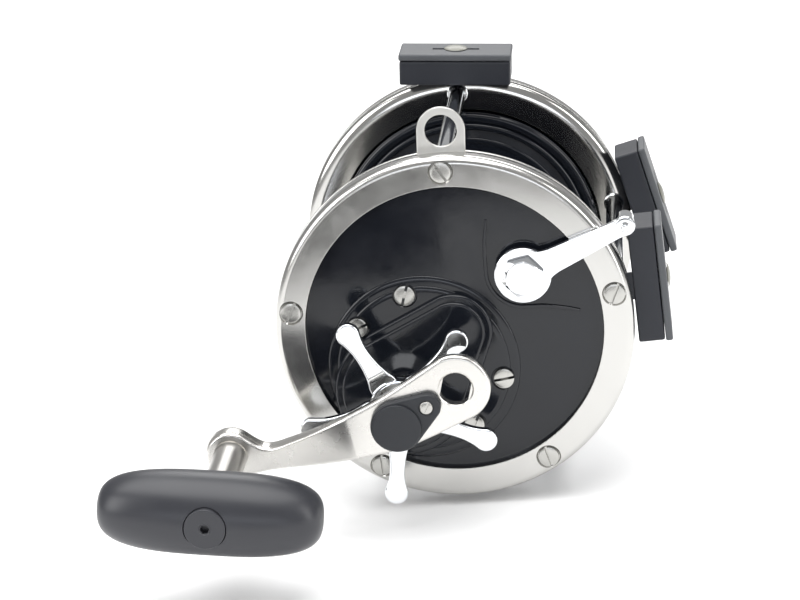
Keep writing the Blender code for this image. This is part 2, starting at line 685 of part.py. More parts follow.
def buildCrank():
    """Crank arm: its plan outline, kept where a bent side profile overlaps it."""
    bossU, bossV, bossRadius = armStations[-1]
    plan = ribbon(armStations, 88, 118, 15)
    arm = flat("crank_arm", [plan], armTop + 5, armBossTop - armBossThickness - 5, crankAxis,
               colour="polished_steel")
    far = math.hypot(bossU, bossV) + 20
    under = armTop - armThickness
    bossUnder = armBossTop - armBossThickness
    side = [(-60, armTop), (22, armTop), (46, armBossTop + 4.0), (60, armBossTop), (far, armBossTop),
            (far, bossUnder), (60, bossUnder), (44, under - 8.4), (20, under), (-60, under)]
    bend = flat("arm_bend", [side], 60, -60, crankAxis)
    bend.rotation_euler = (math.radians(90), 0, math.atan2(bossV, bossU))
    combine(arm, bend, "INTERSECT")
    hole = arc(0, 0, freeHoleRadius, -58, 58, 9) + arc(0, 0, freeHoleRadius, 122, 238, 9)
    free = flat("free_hole", [hole], armTop + 10, under - 10, crankAxis, armStations[0][:2] + (0,),
                freeHoleTurn)
    combine(arm, free, "DIFFERENCE")
    drill(arm, [(0, 0, sleeveRadius + gap, armTop + 9, under - 10),
                (*capScrew, 1.7, armTop + 9, armTop - 3.4),
                (bossU, bossV, 3.6, armBossTop + 1, bossUnder - 1)], crankAxis, 16)
    tube("arm_spacer", sleeveRadius + 3.4, sleeveRadius + gap, under - gap, starTop + gap,
         crankAxis, colour="satin_steel")
    nutTop = armTop + gap + nutHeight
    flat("crank_nut", [circle(0, 0, nutRadius, 6), circle(0, 0, sleeveRadius + gap, 16)], nutTop,
         armTop + gap, crankAxis, colour="satin_steel")
    hollow = nutRadius + nutRoom
    cap = flat("nut_cap", [ribbon([(0.6, 0.5, hollow + capWall), capTail], 98, 82, 15)],
               armTop + gap + capHeight, armTop + gap, crankAxis, colour="black_plastic")
    seat = armTop + capHeight - 0.5
    drill(cap, [(0, 0, hollow, nutTop + 0.4, armTop - 1),
                (*capScrew, capScrewShank + gap, seat + 5, armTop - 1),
                (*capScrew, 3.0, seat + 5, seat)], crankAxis, 16)
    slottedScrew("nut_cap_screw", crankAxis, (*capScrew, seat + gap), 2.7, 1.1, 1.1,
                 capScrewShank, -6.8, 25.0)
    gripAxis = addEmpty("grip_axis", (bossU, bossV, armBossTop), parent=crankAxis)
    post = [(0, gripPostLength - 9), (postBore, gripPostLength - 9), (postBore, gripPostLength),
            (gripPostRadius, gripPostLength), (gripPostRadius, gap), (3.3, gap),
            (3.3, gap - armBossThickness), (0, gap - armBossThickness)]
    turned("grip_post", post, gripAxis, colour="satin_steel", steps=midSteps)
    half = gripLength / 2
    count = 9
    outline = []
    for i in range(count):
        angle = math.pi * i / (count - 1)
        reach = half * math.copysign(abs(math.cos(angle)) ** 0.62, math.cos(angle))
        outline.append((gripRadius * math.sin(angle) ** 0.62 if 0 < i < count - 1 else 0, reach))
    grip = turned("grip", outline, gripAxis, (0, 0, gripReach), "grip_rubber", midSteps)
    grip.rotation_euler = (0, math.radians(90), math.radians(gripTilt))
    front = gripReach + gripRadius
    drill(grip, [(0, 0, gripPostRadius + gap, gripPostLength + gap, 0),
                 (0, 0, postBore + gap, front - 1, gripPostLength - 1),
                 (0, 0, gripPlugRadius + gap, front + 5, front - gripPlugDepth)], gripAxis,
          midSteps)
    plugTop = front - 0.4
    plug = [(0, plugTop - 3), (1.6, plugTop - 3), (1.6, plugTop), (gripPlugRadius, plugTop),
            (gripPlugRadius, front - gripPlugDepth + gap), (postBore - gap, front - gripPlugDepth + gap),
            (postBore - gap, gripPostLength - 7), (0, gripPostLength - 7)]
    turned("grip_plug", plug, gripAxis, colour="grip_rubber", steps=midSteps)


def buildStar():
    """Star drag wheel: five arms with round lobes round a deep hub."""
    hub = [(sleeveRadius + gap, starTop), (7.5, starTop), (starHub, starArmTop),
           (starHub, starArmTop - 5), (8.2, starBottom), (sleeveRadius + gap, starBottom)]
    wheel = turned("star_wheel", hub, crankAxis, colour="bright_chrome", closed=True)
    outline = []
    for arm in range(starArms):
        angle = starPhase + 360.0 * arm / starArms
        outline.append(polar(starHub + 1.5, angle - 30))
        outline += [beside(along, -width, angle) for along, width in starArmStations]
        u, v = polar(starLobeCircle, angle)
        outline += arc(u, v, starLobe, angle - 110, angle + 110, 9)
        outline += [beside(along, width, angle) for along, width in reversed(starArmStations)]
    star = flat("star_arms", [outline, circle(0, 0, 8.0, 24)], starArmTop - 0.6,
                starArmTop - 0.6 - starArmThickness, crankAxis)
    combine(wheel, star, "UNION")


def buildLever():
    """Clutch lever with its hexagon bolt and the round knob behind its end."""
    waist = ((leverHub + 5.0, 5.6), (leverLength - 6.0, leverEnd - 0.4))
    outline = arc(0, 0, leverHub, leverAngle + 40, leverAngle + 320, 19)
    outline += [beside(along, -width, leverAngle) for along, width in waist]
    endU, endV = polar(leverLength, leverAngle)
    outline += arc(endU, endV, leverEnd, leverAngle - 100, leverAngle + 100, 9)
    outline += [beside(along, width, leverAngle) for along, width in reversed(waist)]
    top = leverBottom + leverThickness
    lever = flat("clutch_lever", [outline], top, leverBottom, leverAxis, colour="bright_chrome")
    foot = disc("lever_foot", leverFoot, leverBottom + 1, plateFront + gap, leverAxis, steps=midSteps)
    combine(lever, foot, "UNION")
    drill(lever, [(0, 0, leverShaft + gap, top + 1, plateFront - 1),
                  (endU, endV, 1.9, top + 1, leverBottom - 1)], leverAxis)
    head = flat("lever_bolt", [circle(0, 0, leverBolt, 6)], top + gap + leverBoltHeight,
                top + gap, leverAxis, turn=leverBoltTurn, colour="bright_chrome")
    shankEnd = collarTop + yokeThickness + 1.0
    shank = disc("bolt_shank", leverShaft, top + 1, shankEnd, leverAxis)
    combine(head, shank, "UNION")
    knob = [(0, top + 0.8), (1.5, top + 0.8), (1.5, leverBottom - gap),
            (knobRadius, leverBottom - gap), (knobRadius, leverBottom - knobLength),
            (0, leverBottom - knobLength)]
    turned("lever_knob", knob, leverAxis, (endU, endV, 0), "bright_chrome")


def buildLug():
    """Harness lug: a flat tab clamped by the top screw between the two rings."""
    outline = [(lugHalfWidth, lugFoot)] + arc(0, lugHoleHeight, lugHalfWidth, 0, 180, 17)
    outline.append((-lugHalfWidth, lugFoot))
    flat("harness_lug", [outline, circle(0, lugHoleHeight, lugHoleRadius, 20),
                         circle(0, screwCircle, screwShank + gap, 12)],
         lugTop, lugTop - lugThickness, handleSide, colour="satin_steel")


def buildClip(number, sideName, outside, angle, outward, tongueInset):
    """One clip: base with its tongue, cover with its slot, and the round slide button.

    In the clip's own axes x runs along it, y outward from the ring and z along h.
    """
    side = sides[sideName]
    mirrored = sideName == "far_side"
    place = 180 - angle if mirrored else angle
    turn = (180 - outward if mirrored else outward) - 90
    u, v = polar(ringRadius + outside, place)
    at = (u, v, tongueTop + tongueInset - clipDepth / 2)
    thick = clipBase + gap + clipCover
    low = -thick / 2
    base = box(f"clip_base_{number}", (clipLength, clipBase, clipDepth), (0, low + clipBase / 2, 0),
               side, at, turn, "black_plastic", clipEdge)
    tongueZ = tongueTop - tongueThickness / 2 - at[2]
    tongue = box(f"tongue_{number}", (tongueWidth, tongueLength + 2, tongueThickness),
                 (0, low + 1 - tongueLength / 2, tongueZ), side, at, turn)
    combine(base, tongue, "UNION")
    pocketDepth = clipBase - 5.0
    pocket = box(f"pocket_{number}", (clipSlotLength + 8, pocketDepth, clipDepth - 10.5),
                 (0, low + clipBase - pocketDepth / 2 + 0.1, 0), side, at, turn)
    combine(base, pocket, "DIFFERENCE")
    coverLow = low + clipBase + gap
    cover = box(f"clip_cover_{number}", (clipLength + 2 * clipLip, clipCover, clipDepth + 2 * clipLip),
                (0, coverLow + clipCover / 2, 0), side, at, turn, "black_plastic", clipEdge)
    slot = box(f"slot_{number}", (clipSlotLength, 3 * clipCover, clipSlotWidth),
               (0, coverLow, 0), side, at, turn)
    combine(cover, slot, "DIFFERENCE")
    coverTop = coverLow + clipCover
    dome = [(0, coverTop + 1.5), (3.2, coverTop + 1.2), (4.8, coverTop + 0.7),
            (clipButtonRadius, coverTop + gap), (0, coverTop + gap)]
    slider = turned(f"clip_slider_{number}", dome, side, at, "black_plastic", midSteps)
    slider.rotation_euler = (math.radians(-90), 0, math.radians(turn))
    stem = box(f"stem_{number}", (clipStem, clipCover + 2.4, clipSlotWidth - 2 * gap),
               (0, coverTop + 0.8 - (clipCover + 2.4) / 2, 0), side, at, turn)
    combine(slider, stem, "UNION")


def buildFoot():
    """Reel foot: a blade with two ears that the lower posts pass through."""
    half = footLength / 2
    earU, earV = polar(screwCircle, postAngles[-1])
    earHeight = earV + axisHeight
    right = [(half - 3, 0), (half, footEnd * 0.6), (half - 2, footEnd), (earU + footEar, footEnd + 1.5)]
    right += arc(earU, earHeight, footEar, 0, 180, 11)
    right += [(earU - footEar, 11.0), (earU - footEar - 6, 7.5)]
    left = [(-u, v) for u, v in reversed(right)]
    bore = postRadius + gap
    foot = flat("reel_foot", [right + left, circle(earU, earHeight, bore, 14),
                              circle(-earU, earHeight, bore, 14)],
                footWidth / 2, -footWidth / 2, None, colour="polished_steel")
    foot.rotation_euler = (math.radians(90), 0, 0)


buildRings("handle", handleSide)
buildRings("far", farSide)
buildHandlePlate()
buildFarPlate()
buildPosts()
buildBridge()
buildGears()
buildSpool()
buildClick()
buildCrank()
buildStar()
buildLever()
buildLug()
for clipNumber, clipPlace in enumerate(clips, 1):
    buildClip(clipNumber, *clipPlace)
buildFoot()
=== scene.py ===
import json
import math

import bmesh
import bpy
from mathutils import Matrix, Vector


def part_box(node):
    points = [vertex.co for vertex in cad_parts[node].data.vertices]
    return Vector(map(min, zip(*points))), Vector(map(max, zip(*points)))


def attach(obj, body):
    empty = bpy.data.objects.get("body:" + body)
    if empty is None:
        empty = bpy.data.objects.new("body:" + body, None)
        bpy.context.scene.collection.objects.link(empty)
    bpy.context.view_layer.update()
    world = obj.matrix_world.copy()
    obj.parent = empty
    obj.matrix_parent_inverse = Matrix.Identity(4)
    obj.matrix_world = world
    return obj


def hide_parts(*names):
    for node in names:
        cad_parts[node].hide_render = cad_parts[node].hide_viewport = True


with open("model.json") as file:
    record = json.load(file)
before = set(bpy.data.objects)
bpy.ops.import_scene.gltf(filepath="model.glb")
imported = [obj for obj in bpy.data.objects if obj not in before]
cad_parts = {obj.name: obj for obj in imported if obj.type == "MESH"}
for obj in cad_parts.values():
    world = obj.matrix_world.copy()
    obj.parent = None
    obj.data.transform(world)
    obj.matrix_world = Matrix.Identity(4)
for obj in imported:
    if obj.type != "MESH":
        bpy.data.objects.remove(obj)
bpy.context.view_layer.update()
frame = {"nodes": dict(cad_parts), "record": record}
nodes = frame["nodes"]
mm = 0.001
print("frame loaded")

# places read from the frame, in millimetres
ringLow, ringHigh = (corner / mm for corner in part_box("handle_outer_ring"))
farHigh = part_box("far_outer_ring")[1] / mm
sleeveLow, sleeveHigh = (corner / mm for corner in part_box("gear_sleeve"))
axisHeight = (ringLow.z + ringHigh.z) / 2
ringRadius = (ringHigh.z - ringLow.z) / 2
handleFace = ringLow.y
farFace = farHigh.y
frameWidth = farFace - handleFace


def sideMatrix(face, facing):
    # Millimetres across, up and outward from a side's face, to metres in the frame.
    across, up, outward = Vector((facing, 0, 0)), Vector((0, 0, 1)), Vector((0, -facing, 0))
    turn = Matrix((across, up, outward)).transposed().to_4x4()
    return Matrix.Scale(mm, 4) @ Matrix.Translation((0, face, axisHeight)) @ turn


handleSide = sideMatrix(handleFace, 1)
farSide = sideMatrix(farFace, -1)
toHandle = handleSide.inverted()
crankPlace = toHandle @ ((sleeveLow + sleeveHigh) / 2 * mm)
crankU, crankV = crankPlace.x, crankPlace.y
boltLow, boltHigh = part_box("lever_bolt")
leverPlace = toHandle @ ((boltLow + boltHigh) / 2)
leverU, leverV = leverPlace.x, leverPlace.y
crankSide = handleSide @ Matrix.Translation((crankU, crankV, 0))
leverSide = handleSide @ Matrix.Translation((leverU, leverV, 0))


def linear(hexColour):
    # sRGB hex to linear colour.
    parts = [int(hexColour[i:i + 2], 16) / 255 for i in (0, 2, 4)]
    return [p / 12.92 if p <= 0.04045 else ((p + 0.055) / 1.055) ** 2.4 for p in parts] + [1.0]


def addNode(tree, kind, settings=None, links=None):
    # Adds a node, sets its properties or sockets, and links sockets to it.
    node = tree.nodes.new(kind)
    for key, value in (settings or {}).items():
        if isinstance(key, str) and hasattr(node, key):
            setattr(node, key, value)
        else:
            node.inputs[key].default_value = value
    for key, source in (links or {}).items():
        tree.links.new(source, node.inputs[key])
    return node


def surface(name, colour, second, rough, roughSpread, metal=0.0, grain=0.4, depth=0.01,
            streaks=(1, 1, 1), patch=12.0, coat=0.0, coatRough=0.1, wear=None, specular=0.5):
    # A procedural material: patches of two colours, uneven gloss, fine grain and edge wear.
    # grain and patch are the real sizes of the marks in millimetres, depth is how deep the
    # grain is, and streaks stretches the grain along an axis.
    material = bpy.data.materials.new(name)
    material.use_nodes = True
    tree = material.node_tree
    shader = tree.nodes["Principled BSDF"]
    shader.inputs["Metallic"].default_value = metal
    shader.inputs["Coat Weight"].default_value = coat
    shader.inputs["Coat Roughness"].default_value = coatRough
    if not metal:
        shader.inputs["Specular IOR Level"].default_value = specular
    place = addNode(tree, "ShaderNodeTexCoord").outputs["Object"]
    stretched = addNode(tree, "ShaderNodeMapping", {"Scale": streaks}, {"Vector": place})
    patches = addNode(tree, "ShaderNodeTexNoise",
                      {"Scale": 1 / (patch * mm), "Detail": 4.0, "Roughness": 0.6}, {"Vector": place})
    fine = addNode(tree, "ShaderNodeTexNoise",
                   {"Scale": 1 / (grain * mm), "Detail": 3.0, "Roughness": 0.55},
                   {"Vector": stretched.outputs[0]})
    mix = addNode(tree, "ShaderNodeMix", {"data_type": "RGBA", 6: linear(colour), 7: linear(second)},
                  {0: patches.outputs["Fac"]})
    colourOut = mix.outputs[2]
    if wear:
        edge = addNode(tree, "ShaderNodeNewGeometry").outputs["Pointiness"]
        band = addNode(tree, "ShaderNodeMapRange",
                       {"From Min": 0.53, "From Max": 0.62, "To Max": 0.55}, {"Value": edge})
        worn = addNode(tree, "ShaderNodeMix", {"data_type": "RGBA", 7: linear(wear)},
                       {0: band.outputs[0], 6: colourOut})
        colourOut = worn.outputs[2]
    gloss = addNode(tree, "ShaderNodeMapRange",
                    {"From Min": 0.3, "From Max": 0.7, "To Min": max(rough - roughSpread, 0.02),
                     "To Max": rough + roughSpread}, {"Value": patches.outputs["Fac"]})
    bump = addNode(tree, "ShaderNodeBump", {"Strength": 0.6, "Distance": depth * mm},
                   {"Height": fine.outputs["Fac"]})
    tree.links.new(colourOut, shader.inputs["Base Color"])
    tree.links.new(gloss.outputs[0], shader.inputs["Roughness"])
    tree.links.new(bump.outputs[0], shader.inputs["Normal"])
    return material


materials = {
    # a neutral pale grey that blurs what it mirrors, with faint handling marks
    "buffedStainless": surface("stainless steel, buffed", "bfbebb", "cac9c6", 0.2, 0.04, 1.0,
                               grain=1.2, depth=0.004, patch=18.0),
    # the inner rings, sharper than the buffed face, so they mirror the black plates
    "mirrorStainless": surface("stainless steel, mirror polished", "bdbcb9", "c8c7c4", 0.13, 0.02,
                               1.0, grain=8.0, depth=0.002, patch=30.0),
    # hard chrome on brass: nearly a mirror, slightly blue
    "brightChrome": surface("chrome plating, bright", "e3e5e8", "eceef0", 0.07, 0.02, 1.0,
                            grain=3.0, depth=0.01, patch=10.0),
    # nickel plated brass screws: duller, with turning marks
    "nickelScrew": surface("nickel plating, turned", "b2b1ad", "bab9b5", 0.26, 0.02, 1.0,
                           grain=0.5, depth=0.003, patch=12.0),
    # stamped tab: an even satin grey, brighter on its worn edges
    "satinSteel": surface("steel, tumbled satin", "c6c5c1", "d2d1cd", 0.4, 0.04, 1.0,
                          grain=0.5, depth=0.006, patch=6.0, wear="e6e3dc"),
    # forged arm: a soft bright sheen, with a fine grain drawn out along it
    "groundSteel": surface("stainless steel, belt ground and buffed", "cfcdc9", "dad8d4", 0.27, 0.02,
                           1.0, grain=0.5, depth=0.004, streaks=(0.12, 1, 1), patch=14.0),
    # turned parts: a dull sheen with fine rings
    "turnedSteel": surface("steel, lathe turned", "bcbab6", "c4c2be", 0.3, 0.02, 1.0,
                           grain=0.45, depth=0.002, streaks=(1, 3.0, 1), patch=25.0),
    # compression moulded phenolic: black, glossy, with a very slight ripple
    "phenolic": surface("phenolic resin, compression moulded and polished", "101217", "171a20", 0.12,
                        0.05, grain=5.0, depth=0.02, patch=16.0, specular=0.42),
    # moulded clip plastic: blue-black with a fine spark eroded grain
    "clipPlastic": surface("ABS, moulded, fine grain", "1e2026", "24262c", 0.46, 0.05, grain=0.35,
                           depth=0.02, patch=20.0, wear="3a3d44", specular=0.35),
    # clip covers: the same grain, a lighter grey than their bodies
    "clipCoverPlastic": surface("ABS, moulded, satin", "47494c", "505255", 0.42, 0.04, grain=0.35,
                                depth=0.015, patch=20.0, wear="50535a", specular=0.4),
    # sliding buttons: beige-grey, smoother from use
    "buttonPlastic": surface("ABS, moulded, semi gloss", "77776f", "85847c", 0.34, 0.04, grain=0.5,
                             depth=0.01, patch=8.0),
    # soft coated grip: satin, with a faint orange peel
    "gripCoating": surface("polyurethane soft coating, sprayed", "292a2f", "2f3035", 0.37, 0.03,
                           grain=1.1, depth=0.008, patch=22.0, specular=0.5),
    # nut cover: soft black with broad dull highlights
    "capPlastic": surface("acetal, moulded, satin", "232529", "2a2c30", 0.42, 0.05, grain=0.4,
                          depth=0.012, patch=9.0, specular=0.35),
    # gear brass: warm yellow with fine tool marks
    "cutBrass": surface("brass, machine cut", "b08a45", "c49c55", 0.28, 0.06, 1.0, grain=0.5,
                        depth=0.015, patch=6.0),
    # drag washer: matt brown, finely mottled
    "pressedFibre": surface("fibre washer, pressed", "5a4632", "6a5540", 0.8, 0.05, grain=0.3,
                            depth=0.03, patch=4.0),
}

slotMaterials = {
    "polished_steel": "buffedStainless", "bright_chrome": "brightChrome",
    "satin_steel": "turnedSteel", "satin_aluminium": "groundSteel", "black_plate": "phenolic",
    "black_metal": "phenolic", "black_plastic": "clipPlastic", "grip_rubber": "gripCoating",
    "brass": "cutBrass", "fibre": "pressedFibre",
}
for part in frame["record"]["subparts"]:
    node = nodes[part["node"]]
    node.data.materials.clear()
    node.data.materials.append(materials[slotMaterials[part["material_slot"]]])
print("materials made")


def polar(radius, angle):
    return radius * math.cos(math.radians(angle)), radius * math.sin(math.radians(angle))


def arc(u, v, radius, start, end, count):
    # Points of an arc, both ends included.
    angles = [start + (end - start) * i / (count - 1) for i in range(count)]
    return [(u + polar(radius, a)[0], v + polar(radius, a)[1]) for a in angles]


def circle(u, v, radius, count):
    return arc(u, v, radius, 0, 360 * (count - 1) / count, count)


def spun(profile, steps=96, at=(0, 0, 0)):
    # Spins (radius, height) points about the height axis. A ring's profile returns to its start.
    shape = bmesh.new()
    points = [shape.verts.new((radius, 0, height)) for radius, height in profile]
    closed = profile[0][0] > 0 and profile[-1][0] > 0
    for first, second in zip(points, points[1:] + (points[:1] if closed else [])):
        shape.edges.new((first, second))
    geometry = shape.verts[:] + shape.edges[:]
    bmesh.ops.spin(shape, geom=geometry, cent=(0, 0, 0), axis=(0, 0, 1), angle=math.tau,
                   steps=steps, use_merge=True)
    bmesh.ops.remove_doubles(shape, verts=shape.verts, dist=0.0005)
    bmesh.ops.recalc_face_normals(shape, faces=shape.faces)
    bmesh.ops.translate(shape, vec=at, verts=shape.verts)
    return shape


def drill(u, v, radius, high, low, steps=40):
    # The change that cuts a round hole.
    return "DIFFERENCE", spun([(0, high), (radius, high), (radius, low), (0, low)], steps, (u, v, 0))


def slab(outline, top, bottom, bevel=0.0, segments=4, holes=(), under=True):
    # A flat outline given thickness, its rims rounded by bevel.
    shape = bmesh.new()
    for loop in (outline, *holes):
        corners = [shape.verts.new((u, v, bottom)) for u, v in loop]
        for first, second in zip(corners, corners[1:] + corners[:1]):
            shape.edges.new((first, second))
    if holes:
        bmesh.ops.triangle_fill(shape, edges=shape.edges[:], use_beauty=True, use_dissolve=False)
    else:
        bmesh.ops.contextual_create(shape, geom=shape.edges[:])
    faces = shape.faces[:]
    lifted = bmesh.ops.extrude_face_region(shape, geom=faces, use_keep_orig=True)["geom"]
    topVerts = [part for part in lifted if isinstance(part, bmesh.types.BMVert)]
    bmesh.ops.translate(shape, vec=(0, 0, top - bottom), verts=topVerts)
    bmesh.ops.recalc_face_normals(shape, faces=shape.faces)
    if bevel:
        levels = (top, bottom) if under else (top,)
        rims = []
        for edge in shape.edges:
            flat = [abs(face.normal.z) > 0.5 for face in edge.link_faces]
            heights = [abs(vert.co.z - level) < 0.001 for vert in edge.verts for level in levels]
            if sum(flat) == 1 and sum(heights) == 2:
                rims.append(edge)
        bmesh.ops.bevel(shape, geom=rims, offset=bevel, offset_type="OFFSET", segments=segments,
                        profile=0.5, affect="EDGES", clamp_overlap=True, material=-1)
    return shape


def block(size, centre, bevel=0.0, segments=4):
    shape = bmesh.new()
    bmesh.ops.create_cube(shape, size=1.0)
    bmesh.ops.scale(shape, vec=size, verts=shape.verts)
    if bevel:
        bmesh.ops.bevel(shape, geom=shape.edges[:], offset=bevel, offset_type="OFFSET",
                        segments=segments, profile=0.5, affect="EDGES", material=-1)
    bmesh.ops.translate(shape, vec=centre, verts=shape.verts)
    return shape


def turnShape(shape, degrees, about=(0, 0, 0)):
    bmesh.ops.rotate(shape, cent=about, verts=shape.verts,
                     matrix=Matrix.Rotation(math.radians(degrees), 3, "Z"))


def scratchObject(name, shape, place):
    mesh = bpy.data.meshes.new(name)
    shape.transform(place)
    shape.to_mesh(mesh)
    shape.free()
    item = bpy.data.objects.new(name, mesh)
    bpy.context.scene.collection.objects.link(item)
    return item


def makePiece(name, shape, place, body, material, replaces=(), changes=(), sharp=32):
    # Finishes a piece: cuts and joins, smooth shading, its finish, and the body it rides on.
    # changes are (operation, shape) pairs in the same axes as the piece.
    grown = Matrix.Scale(1 / mm, 4) @ place     # cut in millimetres, then shrunk to metres
    piece = scratchObject(name, shape, grown)
    for number, (operation, other) in enumerate(changes):
        helper = scratchObject(f"helper_{number}", other, grown)
        boolean = piece.modifiers.new("change", "BOOLEAN")
        boolean.operation = operation
        boolean.object = helper
        boolean.solver = "MANIFOLD"
        bpy.context.view_layer.update()
        evaluated = piece.evaluated_get(bpy.context.evaluated_depsgraph_get())
        mesh = bpy.data.meshes.new_from_object(evaluated)
        piece.modifiers.clear()
        piece.data = mesh
        bpy.data.objects.remove(helper)
    mesh = piece.data
    mesh.transform(Matrix.Scale(mm, 4))
    mesh.name = name
    mesh.materials.clear()
    mesh.materials.append(materials[material])
    mesh.shade_smooth()
    mesh.set_sharp_from_angle(angle=math.radians(sharp))
    weighted = piece.modifiers.new("face shading", "WEIGHTED_NORMAL")
    weighted.keep_sharp = True
    weighted.weight = 80
    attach(piece, body)
    if replaces:
        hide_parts(*replaces)
    return piece


def beside(along, aside, angle):
    # A point along a heading and aside from it, to its left.
    u, v = polar(along, angle)
    return u + polar(aside, angle + 90)[0], v + polar(aside, angle + 90)[1]


def smoothOutline(points, rounds=2):
    # Cuts the corners of a closed outline, so that it flows.
    for _ in range(rounds):
        points = [(a[0] * k + b[0] * (1 - k), a[1] * k + b[1] * (1 - k))
                  for a, b in zip(points, points[1:] + points[:1]) for k in (0.75, 0.25)]
    return points


ring = {"lip": 63.0, "innerLip": 61.5, "shoulder": 3.4, "skirtDepth": 8.1, "skirtWall": 2.9,
        "thickness": 2.5, "depth": 14.5, "innerTop": 10.5, "edge": 0.35, "seat": 4.7,
        "seatDepth": 1.4, "seatChamfer": 0.6, "steps": 224}
postCircle = ring["lip"] + (ringRadius - ring["lip"]) / 2
postAngles = (90.0, 10.0, 170.0, 239.0, 301.0)


def quarter(radius, height, size, start, count=7):
    # A rounded corner in a profile, centred at (radius, height).
    return [(radius + polar(size, start - 90 * i / (count - 1))[0],
             height + polar(size, start - 90 * i / (count - 1))[1]) for i in range(count)]


def outerRing(name, place, mirrored):
    size, edge = ring, ring["edge"]
    wall = ringRadius - size["skirtWall"]
    profile = quarter(size["lip"] + edge, -edge, edge, 180, 4)
    profile += quarter(ringRadius - size["shoulder"], -size["shoulder"], size["shoulder"], 90, 12)
    profile += quarter(ringRadius - edge, -size["skirtDepth"] + edge, edge, 0, 4)
    profile += [(wall, -size["skirtDepth"]), (wall, -size["thickness"]),
                (size["lip"], -size["thickness"])]
    seats = []
    for angle in postAngles:
        u, v = polar(postCircle, 180 - angle if mirrored else angle)
        seat, chamfer = size["seat"], size["seatChamfer"]
        seats.append(("DIFFERENCE", spun([(0, 1), (seat + chamfer + 1, 1), (seat, -chamfer),
                                          (seat, -size["seatDepth"]), (0, -size["seatDepth"])],
                                         40, (u, v, 0))))
    return makePiece(name + "_band", spun(profile, size["steps"]), place, "frame",
                     "buffedStainless", [name], seats)


def innerRing(name, place):
    size, edge, wide, high = ring, 0.5, 6.0, 3.0     # the back rim is a broad soft rounding
    profile = quarter(size["innerLip"] + edge, -size["innerTop"] - edge, edge, 180, 4)
    profile += quarter(ringRadius - edge, -size["innerTop"] - edge, edge, 90, 5)
    profile += [(ringRadius - wide + wide * math.cos(t), -size["depth"] + high - high * math.sin(t))
                for t in (math.pi / 2 * i / 14 for i in range(15))]
    profile += quarter(size["innerLip"] + edge, -size["depth"] + edge, edge, 270, 4)
    return makePiece(name + "_band", spun(profile, size["steps"]), place, "frame",
                     "mirrorStainless", [name])


for ringName, ringPlace, ringMirrored in (("handle", handleSide, False), ("far", farSide, True)):
    outerRing(ringName + "_outer_ring", ringPlace, ringMirrored)
    innerRing(ringName + "_inner_ring", ringPlace)
print("rings made")


def slottedHead(radius, proud, depth, shank, tip, angle, slot=1.15, slotDepth=1.9, steps=48):
    # A slotted oval head with a turned rim, and the box that cuts its slot.
    profile = [(0, proud)] + [(radius * k, proud - 0.28 * k ** 3.2) for k in (0.3, 0.55, 0.75, 0.9)]
    profile += [(radius - 0.12, proud - 0.3), (radius, proud - 0.5), (radius, -depth),
                (shank, -depth), (shank, tip), (0, tip)]
    cutter = block((3 * radius, slot, 2 * slotDepth), (0, 0, proud), 0.0)
    turnShape(cutter, angle)
    return spun(profile, steps), [("DIFFERENCE", cutter)]


ringScrew = {"radius": 4.4, "proud": 0.75, "depth": 1.25, "shank": 2.1, "tip": -20.5,
             "slotAngles": (120, 66, 62, 94, 106)}
for number, (angle, slotAngle) in enumerate(zip(postAngles, ringScrew["slotAngles"]), 1):
    u, v = polar(postCircle, angle)
    size = [ringScrew[key] for key in ("radius", "proud", "depth", "shank", "tip")]
    shape, slotCut = slottedHead(*size, slotAngle)
    makePiece(f"handle_screw_{number}", shape, handleSide @ Matrix.Translation((u, v, 0)), "frame",
              "nickelScrew", [f"handle_ring_screw_{number}"], slotCut)
    shape, slotCut = slottedHead(*size, slotAngle + 40)
    makePiece(f"far_screw_{number}", shape, farSide @ Matrix.Translation((-u, v, 0)), "frame",
              "nickelScrew", (), slotCut)

hump = {"u": -14.3, "v": -16.6, "radius": 41.0, "shelf": 4.2, "rise": 1.1}
plate = {"front": -2.8, "back": -5.2, "rim": 72.8, "flangeInner": 61.0, "flangeBack": -10.2}
humpTop = plate["front"] + 2 * hump["rise"]
bridgeScrew = {"places": ((-19.6, 16.8), (-40.8, 3.6), (19.4, -22.8), (5.2, -43.1)), "radius": 4.4,
               "proud": 1.15, "recess": 5.1, "recessDepth": 0.8, "slotAngles": (72, 20, 8, 64)}
for number, (place, slotAngle) in enumerate(zip(bridgeScrew["places"], bridgeScrew["slotAngles"]), 1):
    shape, slotCut = slottedHead(bridgeScrew["radius"], bridgeScrew["proud"], 0.7, 1.6,
                                 -13.0, slotAngle)
    makePiece(f"hump_screw_{number}", shape,
              handleSide @ Matrix.Translation((*place, humpTop)), "frame", "nickelScrew",
              [f"bridge_screw_{number}"], slotCut)
print("screws made")


case = {"mainRadius": 29.0, "pinionRadius": 16.4, "top": 3.2, "lowStep": 1.4, "inset": 3.0,
        "round": 1.38, "ceiling": 1.0, "wall": 2.8, "sleeveHole": 7.6, "leverHole": 4.2}
lugNotch = {"width": 21.7, "height": 14.0, "depth": 4.0, "middle": (0, 73.2, -10.1)}
crankToSpool = math.hypot(crankU, crankV)


def beltOutline(growth):
    # Outline that wraps the main gear and the pinion, grown outward.
    big, small = case["mainRadius"] + growth, case["pinionRadius"] + growth
    heading = math.degrees(math.atan2(-crankV, -crankU))
    lean = math.degrees(math.acos((big - small) / crankToSpool))
    outline = arc(crankU, crankV, big, heading + lean, heading + 360 - lean, 56)
    return outline + arc(0, 0, small, heading - lean, heading + lean, 30)


def roundStep(radius, top, wide, high):
    # A raised round platform, its edge a quarter ellipse.
    low = plate["back"] + 0.6
    edge = [(radius - wide + wide * math.sin(t), top - high + high * math.cos(t))
            for t in (math.pi / 2 * i / 10 for i in range(11))]
    return spun([(0, top)] + edge + [(radius, low), (0, low)], 168, (hump["u"], hump["v"], 0))


